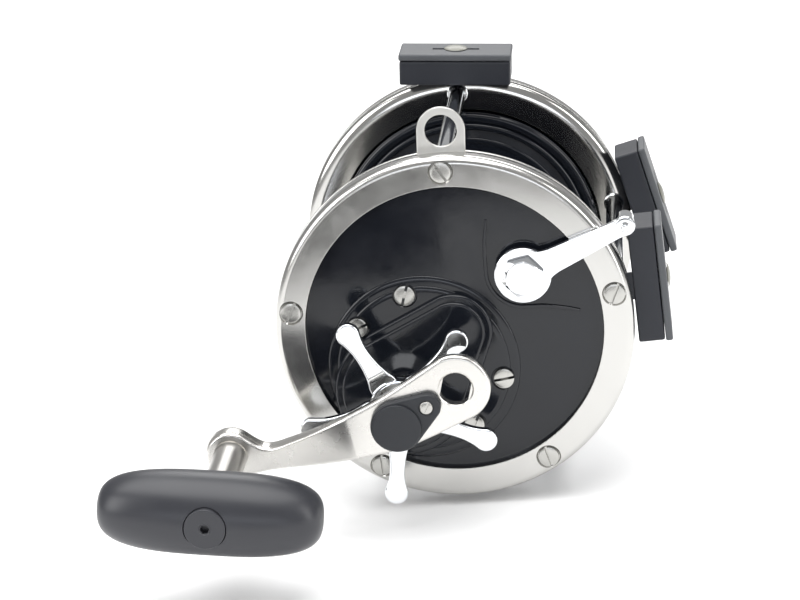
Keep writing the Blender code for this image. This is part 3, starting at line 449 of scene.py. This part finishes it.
rib = {"radius": 15.6, "half": 0.75, "endHalf": 0.45, "taper": 7.0, "top": 1.0, "edge": 0.3}


def ribOutline():
    # A thin rib: down past the lever's hub, round it, then off to the right.
    left, lowest = leverU - rib["radius"], leverV - rib["radius"]
    line = [(left + 1.6, 47.0), (left + 0.9, 42.0), (left + 0.3, 37.0), (left, 32.0)]
    line += arc(leverU, leverV, rib["radius"], 180, 264, 22)
    line += [(38.0, lowest - 0.1), (43.0, lowest - 0.8), (48.0, lowest - 1.7), (53.5, lowest - 2.9)]
    sides = ([], [])
    for i, (u, v) in enumerate(line):
        before, after = line[max(i - 1, 0)], line[min(i + 1, len(line) - 1)]
        heading = math.degrees(math.atan2(after[1] - before[1], after[0] - before[0]))
        fromEnd = min(math.dist((u, v), line[0]), math.dist((u, v), line[-1])) / rib["taper"]
        half = rib["endHalf"] + (rib["half"] - rib["endHalf"]) * min(fromEnd, 1.0)
        for side, turn in zip(sides, (90, -90)):
            du, dv = polar(half, heading + turn)
            side.append((u + du, v + dv))
    return sides[0][::-1] + sides[1]


def plateDisc():
    # The disc with a rim flange that both side plates start from.
    size = plate
    return spun([(0, size["front"]), (size["rim"], size["front"]), (size["rim"], size["flangeBack"]),
                 (size["flangeInner"], size["flangeBack"]), (size["flangeInner"], size["back"]),
                 (0, size["back"])], 192)


def handlePlate():
    size = plate
    body = plateDisc()
    rim = ring["lip"] - 0.25
    trim = spun([(rim, 20), (ringRadius + 20, 20), (ringRadius + 20, size["front"] + 0.04),
                 (rim, size["front"] + 0.04)], 192)
    low = slab(beltOutline(0), case["top"] - case["lowStep"], size["back"] + 0.6, case["round"], 5,
               under=False)
    high = slab(beltOutline(-case["inset"]), case["top"], size["back"] + 0.8, case["round"], 5,
                under=False)
    changes = [("UNION", low), ("UNION", high),
               ("UNION", roundStep(hump["radius"], humpTop - hump["rise"], 2.6, 1.05)),
               ("UNION", roundStep(hump["radius"] - hump["shelf"], humpTop, 2.6, 1.05)),
               ("UNION", slab(ribOutline(), size["front"] + rib["top"], size["back"] + 1.0,
                              rib["edge"], 3, under=False)),
               ("DIFFERENCE", trim)]
    room = slab(beltOutline(-case["wall"]), case["ceiling"], size["back"] - 2)
    changes.append(("DIFFERENCE", room))
    for u, v in bridgeScrew["places"]:
        floor = humpTop - bridgeScrew["recessDepth"]
        changes.append(("DIFFERENCE", spun([(0, 8), (bridgeScrew["recess"] + 0.5, 8),
                                            (bridgeScrew["recess"] + 0.3, humpTop),
                                            (bridgeScrew["recess"], humpTop - 0.3),
                                            (bridgeScrew["recess"], floor), (0, floor)], 40,
                                           (u, v, 0))))
    for u, v, radius in ((crankU, crankV, case["sleeveHole"]), (leverU, leverV, case["leverHole"])):
        changes.append(drill(u, v, radius, 8, -12))
    notch = block((lugNotch["width"], lugNotch["height"], lugNotch["depth"]), lugNotch["middle"])
    changes.append(("DIFFERENCE", notch))
    makePiece("handle_cover", body, handleSide, "frame", "phenolic", ["handle_side_plate"],
              changes, sharp=28)


handlePlate()
print("handle side plate made")


spool = {"radius": 60.9, "endGap": 0.7, "thickness": 3.5, "arbor": 22.0, "hub": 14.0,
         "shaft": 4.0, "journal": 3.1, "grooves": (48.0, 36.0)}


def spoolFlange(front, away):
    # Half of the spool's outline, from a flange's outer face to the arbor's middle.
    size = spool
    rim, back = size["radius"], front - away * size["thickness"]
    points = [(rim - 0.7, front), (rim, front - away * 0.7), (rim, back + away * 1.3)]
    for middle, half in ((rim - 2.2, 2.2), (rim - 6.4, 1.7)):     # two round beads
        points += [(middle + half * math.cos(t), back + away * (1.3 - 1.6 * math.sin(t)))
                   for t in (math.pi * i / 10 for i in range(1, 11))]
    for groove in size["grooves"]:     # concentric steps turned into the dished wall
        level = front - away * (2.7 + (rim - groove) * 0.045)
        points += [(groove + 1.4 * math.cos(t), level - away * 0.75 * math.sin(t))
                   for t in (math.pi * i / 8 for i in range(9))]
    points += [(size["arbor"] + 3.5, front - away * 4.4), (size["arbor"] + 1.0, front - away * 5.2),
               (size["arbor"], front - away * 7.5)]
    return points


def wideSpool():
    # Shaft end, two dished flanges with the arbor between them, and the other shaft end.
    size = spool
    front = -ring["depth"] - size["endGap"]
    back = -frameWidth + ring["depth"] + size["endGap"]
    shaft, journal = size["shaft"], size["journal"]
    profile = [(0, 0.6), (journal - 0.2, 0.6), (journal, 0.4), (journal, -2.1), (shaft, -2.1),
               (shaft, front + 0.4), (size["hub"], front)]
    profile += spoolFlange(front, 1)
    profile += spoolFlange(back, -1)[::-1]
    profile += [(size["hub"], back), (shaft, back - 0.4), (shaft, -frameWidth + 9.0),
                (journal, -frameWidth + 9.0), (journal, -frameWidth + 6.3), (0, -frameWidth + 6.3)]
    makePiece("wide_spool", spun(profile, 160), handleSide, "spool", "phenolic", ["spool"])


post = {"radius": 3.75, "flare": 4.7, "flareLength": 4.0, "gap": 0.3}


def crossPost(number, angle):
    # A post with flared ends, bored for its two screws.
    size = post
    u, v = polar(postCircle, angle)
    top = -ring["depth"] - size["gap"]
    bottom = -frameWidth - top
    curve = [(size["radius"] + (size["flare"] - size["radius"]) * (1 - math.sin(t)),
              size["flareLength"] * (1 - math.cos(t)))
             for t in (math.pi / 2 * i / 7 for i in range(8))]
    profile = [(0, top - 0.01), (size["flare"] - 0.2, top - 0.01)]
    profile += [(radius, top - 0.3 - down) for radius, down in curve]
    profile += [(radius, bottom + 0.3 + down) for radius, down in reversed(curve)]
    profile += [(size["flare"] - 0.2, bottom + 0.01), (0, bottom + 0.01)]
    bore = ringScrew["shank"] + 0.3
    bores = [drill(0, 0, bore, high, high - 10, 24) for high in (top + 1, bottom + 9)]
    makePiece(f"post_{number}", spun(profile, 56), handleSide @ Matrix.Translation((u, v, 0)),
              "frame", "brightChrome", [f"cross_post_{number}"], bores)


click = {"u": 22.0, "v": -22.0, "travel": 6.0, "half": 2.1, "heading": 135, "stem": 1.8,
         "button": 4.8, "gap": 0.3}
farStepTops = ((54.0, -2.0), (49.5, -1.2), (19.0, -0.6))     # each step's radius and height
cap = {"radius": 13.4, "recess": 13.8, "neck": 7.3, "hole": 7.6, "slot": 1.6}


def clickSlot():
    # The slot that the click button's stem slides along.
    half = click["travel"] / 2
    loop = [(u + half, v) for u, v in arc(0, 0, click["half"], -90, 90, 12)]
    loop += [(u - half, v) for u, v in arc(0, 0, click["half"], 90, 270, 12)]
    shape = slab(loop, 4, -14)
    turnShape(shape, click["heading"])
    middleU, middleV = polar(half, click["heading"])
    bmesh.ops.translate(shape, vec=(click["u"] + middleU, click["v"] + middleV, 0),
                        verts=shape.verts)
    return shape


def farPlate():
    low, front = plate["back"] + 0.5, plate["front"]
    changes = [("UNION", spun([(0, top)] + quarter(radius - 0.8, top - 0.8, 0.8, 90, 7)
                              + [(radius, low), (0, low)], 144)) for radius, top in farStepTops]
    changes += [("DIFFERENCE", clickSlot()),
                ("DIFFERENCE", spun([(0, 5), (cap["recess"], 5), (cap["recess"], front),
                                     (cap["hole"], front), (cap["hole"], -20), (0, -20)], 64))]
    makePiece("far_cover", plateDisc(), farSide, "frame", "phenolic", ["far_side_plate"],
              changes, sharp=28)


def farCap():
    # A low domed cap with a coin slot.
    radius, seat = cap["radius"], plate["front"] + 0.3
    profile = [(0, 1.9), (3.0, 1.86), (8.0, 1.55), (11.5, 0.75), (12.9, 0.0),
               (radius - 0.05, -0.7), (radius, -1.2), (radius, seat), (cap["neck"], seat),
               (cap["neck"], -5.9), (0, -5.9)]
    slot = [("DIFFERENCE", block((30, cap["slot"], cap["slot"]), (0, 0, 1.9)))]
    makePiece("far_cap", spun(profile, 72), farSide, "frame", "brightChrome", ["bearing_cap"],
              slot)


def clickButton():
    # A domed button that slides just above the wide step.
    radius, stem, low = click["button"], click["stem"], farStepTops[1][1] + click["gap"]
    profile = [(0, 2.6), (1.2, 2.58), (3.2, 2.35), (4.2, 1.75), (4.65, 1.0), (radius, 0.2),
               (radius, low), (stem, low), (stem, -10.8), (0, -10.8)]
    makePiece("click_slide", spun(profile, 48),
              farSide @ Matrix.Translation((click["u"], click["v"], 0)), "click", "brightChrome",
              ["click_button"])


wideSpool()
for number, angle in enumerate(postAngles, 1):
    crossPost(number, angle)
farPlate()
farCap()
clickButton()
print("spool, posts and far plate made")


lever = {"hub": 12.0, "length": 47.5, "angle": 23.3, "bottom": 0.6, "thickness": 3.0, "edge": 0.55,
         "end": 4.3, "bolt": 8.9, "boltHeight": 3.1, "boltTurn": 12.0, "knob": 3.9,
         "knobLength": 7.7, "shaft": 3.9}
leverTop = lever["bottom"] + lever["thickness"]


def clutchLever():
    size = lever
    outline = arc(0, 0, size["hub"], size["angle"] + 32, size["angle"] + 328, 60)
    outline += [beside(along, -width, size["angle"])
                for along, width in ((11.6, 5.9), (14.5, 5.35), (30.0, 4.5), (40.5, 3.85), (43.6, 3.75))]
    end = polar(size["length"], size["angle"])
    outline += arc(*end, size["end"], size["angle"] - 112, size["angle"] + 112, 26)
    outline += [beside(along, width, size["angle"])
                for along, width in ((43.6, 3.75), (40.5, 3.85), (30.0, 4.5), (14.5, 5.35), (11.6, 5.9))]
    body = slab(outline, leverTop, size["bottom"], size["edge"], 5)
    foot = spun([(0, 1.5), (8.4, 1.5), (8.4, plate["front"] + 0.3), (0, plate["front"] + 0.3)], 56)
    boss = spun([(0, leverTop + 0.5)] + quarter(3.6, leverTop, 0.5, 90, 5) + [(4.1, 1.0), (0, 1.0)], 48,
                (*end, 0))
    dish = spun([(0, 8), (3.0, 8), (2.4, leverTop + 0.1), (0, leverTop + 0.1)], 40, (*end, 0))
    makePiece("lever_plate", body, leverSide, "lever", "brightChrome", ["clutch_lever"],
              [("UNION", foot), ("UNION", boss), ("DIFFERENCE", dish),
                                drill(0, 0, case["leverHole"], 9, -9)])
    top = leverTop + 0.3 + size["boltHeight"]
    head = slab(arc(0, 0, size["bolt"], size["boltTurn"], size["boltTurn"] + 300, 6), top,
                leverTop + 0.3)
    chamfer = spun([(0, top - 0.05), (6.6, top - 0.05), (7.1, top - 0.15), (7.45, top - 0.4),
                    (9.3, top - 1.5), (9.3, leverTop - 3), (0, leverTop - 3)], 96)
    shank = spun([(0, leverTop + 1), (size["shaft"], leverTop + 1), (size["shaft"], -9.9), (0, -9.9)], 40)
    makePiece("lever_hex_bolt", head, leverSide, "lever", "brightChrome", ["lever_bolt"],
              [("INTERSECT", chamfer), ("UNION", shank)], sharp=20)
    low, high = size["bottom"] - 0.3 - size["knobLength"], size["bottom"] - 0.3
    knob = [(0, leverTop + 0.75), (0.9, leverTop + 0.7), (1.5, leverTop + 0.35),
            (1.9, leverTop + 0.12), (1.9, leverTop - 0.3), (1.5, leverTop - 0.3), (1.5, high)]
    knob += quarter(size["knob"] - 0.5, high - 0.5, 0.5, 90, 5)
    knob += quarter(size["knob"] - 0.5, low + 0.5, 0.5, 0, 5) + [(0, low)]
    makePiece("lever_round_knob", spun(knob, 48), leverSide @ Matrix.Translation((*end, 0)), "lever",
              "brightChrome", ["lever_knob"])


clutchLever()
print("lever made")


star = {"lobeCircle": 38.5, "lobe": 4.9, "hub": 11.5, "bottom": 11.3, "top": 25.0, "armTop": 22.6,
        "thickness": 3.9, "phase": 47.0, "arms": 5, "bore": 5.3}
starStations = ((13.4, 6.0), (16.5, 4.7), (20.5, 3.75), (25.0, 3.2), (29.5, 3.1), (33.0, 3.5))


def starWheel():
    size = star
    outline = []
    for number in range(size["arms"]):
        angle = size["phase"] + 360 / size["arms"] * number
        outline += arc(0, 0, size["hub"] + 1.2, angle - 35.5, angle - 29, 3)
        outline += [beside(along, -width, angle) for along, width in starStations]
        outline += arc(*polar(size["lobeCircle"], angle), size["lobe"], angle - 118, angle + 118, 26)
        outline += [beside(along, width, angle) for along, width in reversed(starStations)]
        outline += arc(0, 0, size["hub"] + 1.2, angle + 29, angle + 35.5, 3)
    top = size["armTop"] - 0.4
    arms = slab(smoothOutline(outline, 1), top, top - size["thickness"], 1.5, 6)
    hub = spun([(size["bore"], size["bottom"]), (8.2, size["bottom"]), (8.6, size["bottom"] + 0.3),
                (12.3, size["armTop"] - 5.6), (12.8, size["armTop"] - 4.6),
                (12.9, size["armTop"] - 0.4), (12.6, size["armTop"] + 0.35),
                (12.1, size["armTop"] + 0.5), (11.7, size["armTop"] + 0.3),
                (11.3, size["armTop"] - 0.8), (10.8, size["armTop"] - 1.1),
                (8.4, size["armTop"] - 1.1), (7.9, size["armTop"] - 0.8), (7.5, size["top"] - 0.4),
                (7.2, size["top"]), (size["bore"], size["top"])], 96)
    makePiece("drag_star", arms, crankSide, "star", "brightChrome", ["star_wheel"],
              [drill(0, 0, 11.6, 40, size["armTop"] - 0.95, 72), drill(0, 0, 7.0, 40, -10, 48),
               ("UNION", hub)], sharp=38)


starWheel()
print("star drag made")


arm = {"top": 41.0, "thickness": 5.0, "bossTop": 29.4, "bossThickness": 9.4, "edge": 1.7,
       "bendStart": 20.0, "bendEnd": 61.0, "freeHole": 7.0, "freeHoleTurn": 75.0}
armStations = ((25.8, 14.5, 14.4), (-0.6, 1.1, 12.2), (-22.5, -6.0, 9.1), (-42.0, -12.8, 6.6),
               (-56.5, -16.6, 5.5), (-72.2, -14.5, 10.8))


def armOutline():
    # Outline round the arm's chain of circles, its waists drawn smooth.
    left, right = [], []
    for i, (u, v, radius) in enumerate(armStations):
        before, after = armStations[max(i - 1, 0)], armStations[min(i + 1, len(armStations) - 1)]
        heading = math.degrees(math.atan2(after[1] - before[1], after[0] - before[0]))
        if i == 0:
            start = arc(u, v, radius, heading + 92, heading + 268, 40)
        elif i == len(armStations) - 1:
            end = arc(u, v, radius, heading - 118, heading + 118, 36)
        else:
            left.append((u + polar(radius, heading + 90)[0], v + polar(radius, heading + 90)[1]))
            right.append((u + polar(radius, heading - 90)[0], v + polar(radius, heading - 90)[1]))
    return start, right, end, left[::-1]


def throughPoints(before, points, after, count=8):
    # A smooth run through points, leaving before and reaching after.
    chain = [before[-2], before[-1]] + points + [after[0], after[1]]
    run = []
    for p0, p1, p2, p3 in zip(chain, chain[1:], chain[2:], chain[3:]):
        for i in range(count):
            t = i / count
            run.append(tuple(0.5 * (2 * b + (c - a) * t + (2 * a - 5 * b + 4 * c - d) * t * t
                                    + (3 * b - a - 3 * c + d) * t ** 3)
                             for a, b, c, d in zip(p0, p1, p2, p3)))
    return run[1:]


def ease(along, start, end, first, last):
    # Eases from a first value to a last one between two places along the arm.
    t = min(max((along - start) / (end - start), 0), 1)
    return first + (last - first) * (t * t * (3 - 2 * t) * 0.55 + t * 0.45)


def crankArm():
    size = arm
    start, right, end, left = armOutline()
    outline = start + throughPoints(start, right, end) + end + throughPoints(end, left, start)
    bossU, bossV = armStations[-1][:2]
    body = slab(outline, size["thickness"], 0.0, size["edge"], 5)
    heading = math.atan2(bossV, bossU)
    forward = Vector((math.cos(heading), math.sin(heading), 0))
    for step in range(5, 20):
        bmesh.ops.bisect_plane(body, geom=body.verts[:] + body.edges[:] + body.faces[:],
                               plane_co=forward * (step * 3.3), plane_no=forward)
    for vert in body.verts:      # bend the flat arm down to its boss, and thicken it there
        along = vert.co.dot(forward)
        top = ease(along, size["bendStart"], size["bendEnd"], size["top"], size["bossTop"])
        thick = ease(along, size["bendStart"], size["bendEnd"], size["thickness"],
                     size["bossThickness"])
        vert.co.z = top - thick * (1 - vert.co.z / size["thickness"])
    hole = arc(0, 0, size["freeHole"], -58, 58, 20) + arc(0, 0, size["freeHole"], 122, 238, 20)
    free = slab(hole, size["top"] + 10, size["top"] - 12)
    turnShape(free, size["freeHoleTurn"])
    bmesh.ops.translate(free, vec=(*armStations[0][:2], 0), verts=free.verts)
    lip, top = size["freeHole"], size["top"]
    rim = spun([(0, top + 1), (lip + 1.5, top + 1), (lip - 0.1, top - 0.6), (0, top - 0.6)], 64,
               (*armStations[0][:2], 0))
    changes = [("DIFFERENCE", free), ("DIFFERENCE", rim)]
    for u, v, radius in ((0, 0, 5.3), (*capScrew["place"], 1.7), (bossU, bossV, 3.6)):
        changes.append(drill(u, v, radius, 60, 10))
    makePiece("arm_forging", body, crankSide, "crank", "groundSteel", ["crank_arm"],
              changes, sharp=40)


capScrew = {"place": (13.4, 8.5), "radius": 2.75, "proud": 0.55, "depth": 0.5, "shank": 1.4,
            "slotAngle": 62}
nutCap = {"hub": (0.6, 0.5, 10.9), "tail": (13.8, 8.4, 5.6), "height": 4.7, "edge": 0.9,
          "plateau": 10.1, "gap": 0.3, "nutRoom": 7.9, "nutHeight": 3.6, "screwHole": 1.7}


def teardrop():
    # Outline that wraps the cap's two circles.
    hubU, hubV, big = nutCap["hub"]
    tailU, tailV, small = nutCap["tail"]
    span = math.hypot(tailU - hubU, tailV - hubV)
    heading = math.degrees(math.atan2(tailV - hubV, tailU - hubU))
    lean = math.degrees(math.acos((big - small) / span))
    return (arc(hubU, hubV, big, heading + lean, heading + 360 - lean, 56)
            + arc(tailU, tailV, small, heading - lean, heading + lean, 24))


def nutCover():
    size = nutCap
    low = arm["top"] + size["gap"]
    top = low + size["height"]
    tailTop = top - 1.3
    base = slab(teardrop(), tailTop, low, size["edge"], 5, under=False)
    raised = slab(circle(0.6, 0.5, size["plateau"], 96), top, low + 0.6, 0.5, 4, under=False)
    seat = tailTop - 0.55
    changes = [("UNION", raised), drill(0, 0, size["nutRoom"], arm["top"] + size["nutHeight"], 30),
               drill(*capScrew["place"], size["screwHole"], 60, 30),
               drill(*capScrew["place"], capScrew["radius"] + 0.4, 60, seat)]
    makePiece("nut_cover", base, crankSide, "crank", "capPlastic", ["nut_cap"],
              changes)
    shape, slotCut = slottedHead(capScrew["radius"], capScrew["proud"], 0.5, capScrew["shank"],
                                 -6.0, capScrew["slotAngle"], 0.8, 0.7, 40)
    makePiece("nut_cover_screw", shape,
              crankSide @ Matrix.Translation((*capScrew["place"], seat + 0.55)), "crank",
              "nickelScrew", ["nut_cap_screw"], slotCut)


grip = {"length": 90.6, "radius": 17.0, "reach": 58.0, "tilt": -6.8, "postRadius": 7.1,
        "postLength": 66.0, "postBore": 2.9, "plug": 8.4, "plugDepth": 6.0, "socket": 3.4}


def gripAndPost():
    size = grip
    bossU, bossV = armStations[-1][:2]
    place = crankSide @ Matrix.Translation((bossU, bossV, arm["bossTop"]))
    length, radius, bore = size["postLength"], size["postRadius"], size["postBore"]
    postProfile = [(0, length - 9), (bore, length - 9), (bore, length), (radius - 0.4, length),
                   (radius, length - 0.4), (radius, 0.8), (radius - 0.5, 0.3), (3.3, 0.3),
                   (3.3, -9.7), (0, -9.7)]
    makePiece("grip_pin", spun(postProfile, 72), place, "crank", "turnedSteel", ["grip_post"])
    half = size["length"] / 2
    outline = [(0, half)]
    for i in range(1, 48):
        angle = math.pi * i / 48
        along = half * math.copysign(abs(math.cos(angle)) ** 0.68, math.cos(angle))
        outline.append((size["radius"] * math.sin(angle) ** 0.61, along))
    outline.append((0, -half))
    body = spun(outline, 112)
    turn = Matrix.Rotation(math.radians(size["tilt"]), 4, "Z") @ Matrix.Rotation(math.pi / 2, 4, "Y")
    body.transform(Matrix.Translation((0, 0, size["reach"])) @ turn)
    frontFace = size["reach"] + size["radius"]
    changes = [drill(0, 0, radius + 0.3, length + 0.3, -5, 64),
               drill(0, 0, bore + 0.3, frontFace + 2, -5, 64),
               drill(0, 0, size["plug"] + 0.3, frontFace + 6, frontFace - size["plugDepth"], 72)]
    makePiece("grip_barrel", body, place, "grip", "gripCoating", ["grip"], changes)
    plugTop = frontFace - 0.1
    plugLow = frontFace - size["plugDepth"] + 0.3
    plugProfile = [(0, plugTop)] + quarter(size["plug"] - 0.5, plugTop - 0.5, 0.5, 90, 6)
    plugProfile += [(size["plug"], plugLow), (bore - 0.3, plugLow), (bore - 0.3, length - 7),
                    (0, length - 7)]
    socket = slab(arc(0, 0, size["socket"] / 2 / math.cos(math.pi / 6), 0, 300, 6), plugTop + 2,
                  plugTop - 3)
    countersink = spun([(0, plugTop + 3), (size["socket"] / 2 + 1.6, plugTop + 0.9),
                        (size["socket"] / 2 + 0.5, plugTop - 0.25), (0, plugTop - 0.25)], 40)
    makePiece("grip_end_plug", spun(plugProfile, 72), place, "grip", "gripCoating", ["grip_plug"],
              [("DIFFERENCE", socket), ("DIFFERENCE", countersink)])


crankArm()
nutCover()
gripAndPost()
print("crank and grip made")


lug = {"half": 10.1, "hole": 6.8, "holeHeight": 85.0, "foot": 66.5, "top": -8.4,
       "thickness": 1.8, "edge": 0.45, "lean": -3.3}


def lugTab():
    # A round-topped tab that leans a little about its screw.
    size = lug
    loop = [(size["half"], size["foot"])] + arc(0, size["holeHeight"], size["half"], 0, 180, 48)
    loop.append((-size["half"], size["foot"]))
    holes = [circle(0, size["holeHeight"], size["hole"], 48),
             circle(0, postCircle, ringScrew["shank"] + 0.3, 24)]
    shape = slab(loop, size["top"], size["top"] - size["thickness"], size["edge"], 4, holes)
    turnShape(shape, size["lean"], (0, postCircle, 0))
    makePiece("lug_tab", shape, handleSide, "frame", "satinSteel", ["harness_lug"])


clip = {"length": 50.5, "depth": 22.5, "base": 11.0, "gap": 0.3, "cover": 3.1, "lip": 0.4,
        "slotLength": 21.4, "slotWidth": 2.7, "button": 5.3, "stem": 6.0, "edge": 0.9,
        "tongueWidth": 12.0, "tongueThickness": 1.4, "tongueLength": 3.4, "tongueTop": -8.5}
# side, middle outside the ring, its angle, the clip's outward angle, tongue from its side
clips = ((handleSide, 8.3, 8.5, 2.5, 0.5), (farSide, 8.4, 170.1, 166.0, 3.5),
         (farSide, 7.6, 90.4, 94.2, 3.5))


def rimClip(number, side, outside, angle, outward, inset):
    size = clip
    u, v = polar(ringRadius + outside, angle)
    height = size["tongueTop"] + inset - size["depth"] / 2
    place = side @ Matrix.Translation((u, v, height)) @ Matrix.Rotation(
        math.radians(outward - 90), 4, "Z")
    thick = size["base"] + size["gap"] + size["cover"]
    low = -thick / 2
    tongueAt = size["tongueTop"] - size["tongueThickness"] / 2 - height
    base = block((size["length"], size["base"], size["depth"]), (0, low + size["base"] / 2, 0),
                 size["edge"], 4)
    tongue = block((size["tongueWidth"], size["tongueLength"] + 2, size["tongueThickness"]),
                   (0, low + 1 - size["tongueLength"] / 2, tongueAt), 0.3, 2)
    pocket = block((size["slotLength"] + 8, size["base"] - 5, size["depth"] - 10.5),
                   (0, low + size["base"] / 2 + 2.6, 0))
    makePiece(f"clip_body_{number}", base, place, "frame", "clipPlastic", [f"clip_base_{number}"],
              [("UNION", tongue), ("DIFFERENCE", pocket)])
    coverLow = low + size["base"] + size["gap"]
    cover = block((size["length"] + 2 * size["lip"], size["cover"], size["depth"] + 2 * size["lip"]),
                  (0, coverLow + size["cover"] / 2, 0), size["edge"], 4)
    slot = block((size["slotLength"], 3 * size["cover"], size["slotWidth"]), (0, coverLow, 0), 0.2, 2)
    makePiece(f"clip_lid_{number}", cover, place, "frame", "clipCoverPlastic",
              [f"clip_cover_{number}"], [("DIFFERENCE", slot)])
    coverTop = coverLow + size["cover"]
    dome = [(0, 1.55)] + [(size["button"] * k, 1.55 - 1.1 * k ** 2.6)
                          for k in (0.2, 0.4, 0.6, 0.75, 0.88, 0.96)]
    dome += [(size["button"], 0.3), (0, 0.3)]
    button = spun(dome, 56)
    button.transform(Matrix.Translation((0, coverTop, 0)) @ Matrix.Rotation(-math.pi / 2, 4, "X"))
    stemHeight = size["cover"] + 2.4
    stem = block((size["stem"], stemHeight, size["slotWidth"] - 0.6),
                 (0, coverTop + 0.8 - stemHeight / 2, 0))
    makePiece(f"clip_button_piece_{number}", button, place, f"clip_slider_{number}", "buttonPlastic",
              [f"clip_slider_{number}"], [("UNION", stem)])


lugTab()
for clipNumber, clipPlace in enumerate(clips, 1):
    rimClip(clipNumber, *clipPlace)
print("lug and clips made")


foot = {"length": 92.0, "width": 24.0, "ear": 7.6, "edge": 0.8}


def footCasting():
    # Half the outline seen along the spool: a thin end, a rise, and an ear round its post.
    size = foot
    earU, earV = polar(postCircle, postAngles[-1])
    earHeight = earV + axisHeight
    half, ear = size["length"] / 2, size["ear"]
    right = [(half - 3, 0), (half - 0.6, 0.5), (half, 1.4), (half - 0.6, 2.1), (half - 2, 2.4),
             (earU + ear + 3, 3.3), (earU + ear, 5.6)]
    right += arc(earU, earHeight, ear, 0, 180, 26)
    right += [(earU - ear - 1, 13.6), (earU - ear - 3, 9.2), (earU - ear - 7, 7.6)]
    loop = right + [(-u, v) for u, v in reversed(right)]
    bore = post["radius"] + 0.3
    shape = slab(loop, size["width"] / 2, -size["width"] / 2, size["edge"], 4,
                 [circle(earU, earHeight, bore, 40), circle(-earU, earHeight, bore, 40)])
    place = Matrix.Scale(mm, 4) @ Matrix.Rotation(math.pi / 2, 4, "X")
    makePiece("foot_casting", shape, place, "frame", "buffedStainless", ["reel_foot"])


footCasting()
print("foot made")


def studioFloor():
    mesh = bpy.data.meshes.new("floor")
    shape = bmesh.new()
    bmesh.ops.create_grid(shape, x_segments=1, y_segments=1, size=6.0)
    shape.to_mesh(mesh)
    shape.free()
    floor = bpy.data.objects.new("floor", mesh)
    bpy.context.scene.collection.objects.link(floor)
    mesh.materials.append(surface("paper sweep, matt white", "fbfbfb", "ffffff", 0.9, 0.02,
                                  grain=2.0, depth=0.0, patch=400.0, specular=0.1))


def areaLight(name, place, target, width, height, power, colour=(1, 1, 1)):
    light = bpy.data.lights.new(name, "AREA")
    light.shape = "RECTANGLE"
    light.size, light.size_y = width, height
    light.energy = power
    light.color = colour
    item = bpy.data.objects.new(name, light)
    item.location = place
    item.rotation_euler = (Vector(target) - Vector(place)).to_track_quat("-Z", "Y").to_euler()
    bpy.context.scene.collection.objects.link(item)


def greyCard(name, width, length, x, y, turn):
    # A dark card on the floor in front: polished faces mirror it and keep their shape.
    mesh = bpy.data.meshes.new(name)
    shape = block((width, length, 0.004), (x, y, 0.002), 0.001, 2)
    turnShape(shape, turn)
    shape.to_mesh(mesh)
    shape.free()
    card = bpy.data.objects.new(name, mesh)
    for kind in ("camera", "diffuse", "shadow"):     # only polished faces see it
        setattr(card, "visible_" + kind, False)
    bpy.context.scene.collection.objects.link(card)
    mesh.materials.append(surface("card, matt dark grey", "303030", "343434", 0.9, 0.02, grain=2.0,
                                  depth=0.0, patch=400.0, specular=0.1))


studioFloor()
greyCard("near card", 0.14, 0.16, -0.075, -0.47, -4)
greyCard("far card", 0.36, 0.34, -0.01, -0.7, -4)
middle = (0, 0, axisHeight * mm)
areaLight("overhead softbox", (-0.1, -0.15, 1.4), middle, 1.6, 1.2, 24)
areaLight("left softbox", (-1.3, -0.9, 0.8), middle, 0.8, 1.1, 12)
areaLight("right strip", (1.2, -0.7, 0.6), middle, 0.35, 1.2, 7)
areaLight("window", (0.0, -2.3, 0.42), middle, 1.5, 0.4, 5, (0.88, 0.92, 1.0))
areaLight("back softbox", (0.2, 1.3, 1.1), middle, 1.4, 0.7, 12)

world = bpy.data.worlds.new("studio")
world.use_nodes = True
world.node_tree.nodes["Background"].inputs["Color"].default_value = (1.0, 1.0, 1.0, 1.0)
world.node_tree.nodes["Background"].inputs["Strength"].default_value = 0.4
bpy.context.scene.world = world

view = {"place": (0.0881, -1.11147, 0.44557), "lens": 117.86,
        "turn": (71.3734, 5.0856, 4.3170)}
cameraData = bpy.data.cameras.new("camera")
cameraData.lens = view["lens"]
cameraData.clip_start = 0.05
camera = bpy.data.objects.new("camera", cameraData)
camera.location = view["place"]
camera.rotation_euler = [math.radians(angle) for angle in view["turn"]]
bpy.context.scene.collection.objects.link(camera)
bpy.context.scene.camera = camera
bpy.context.scene.view_settings.view_transform = "Standard"
print("stage made")
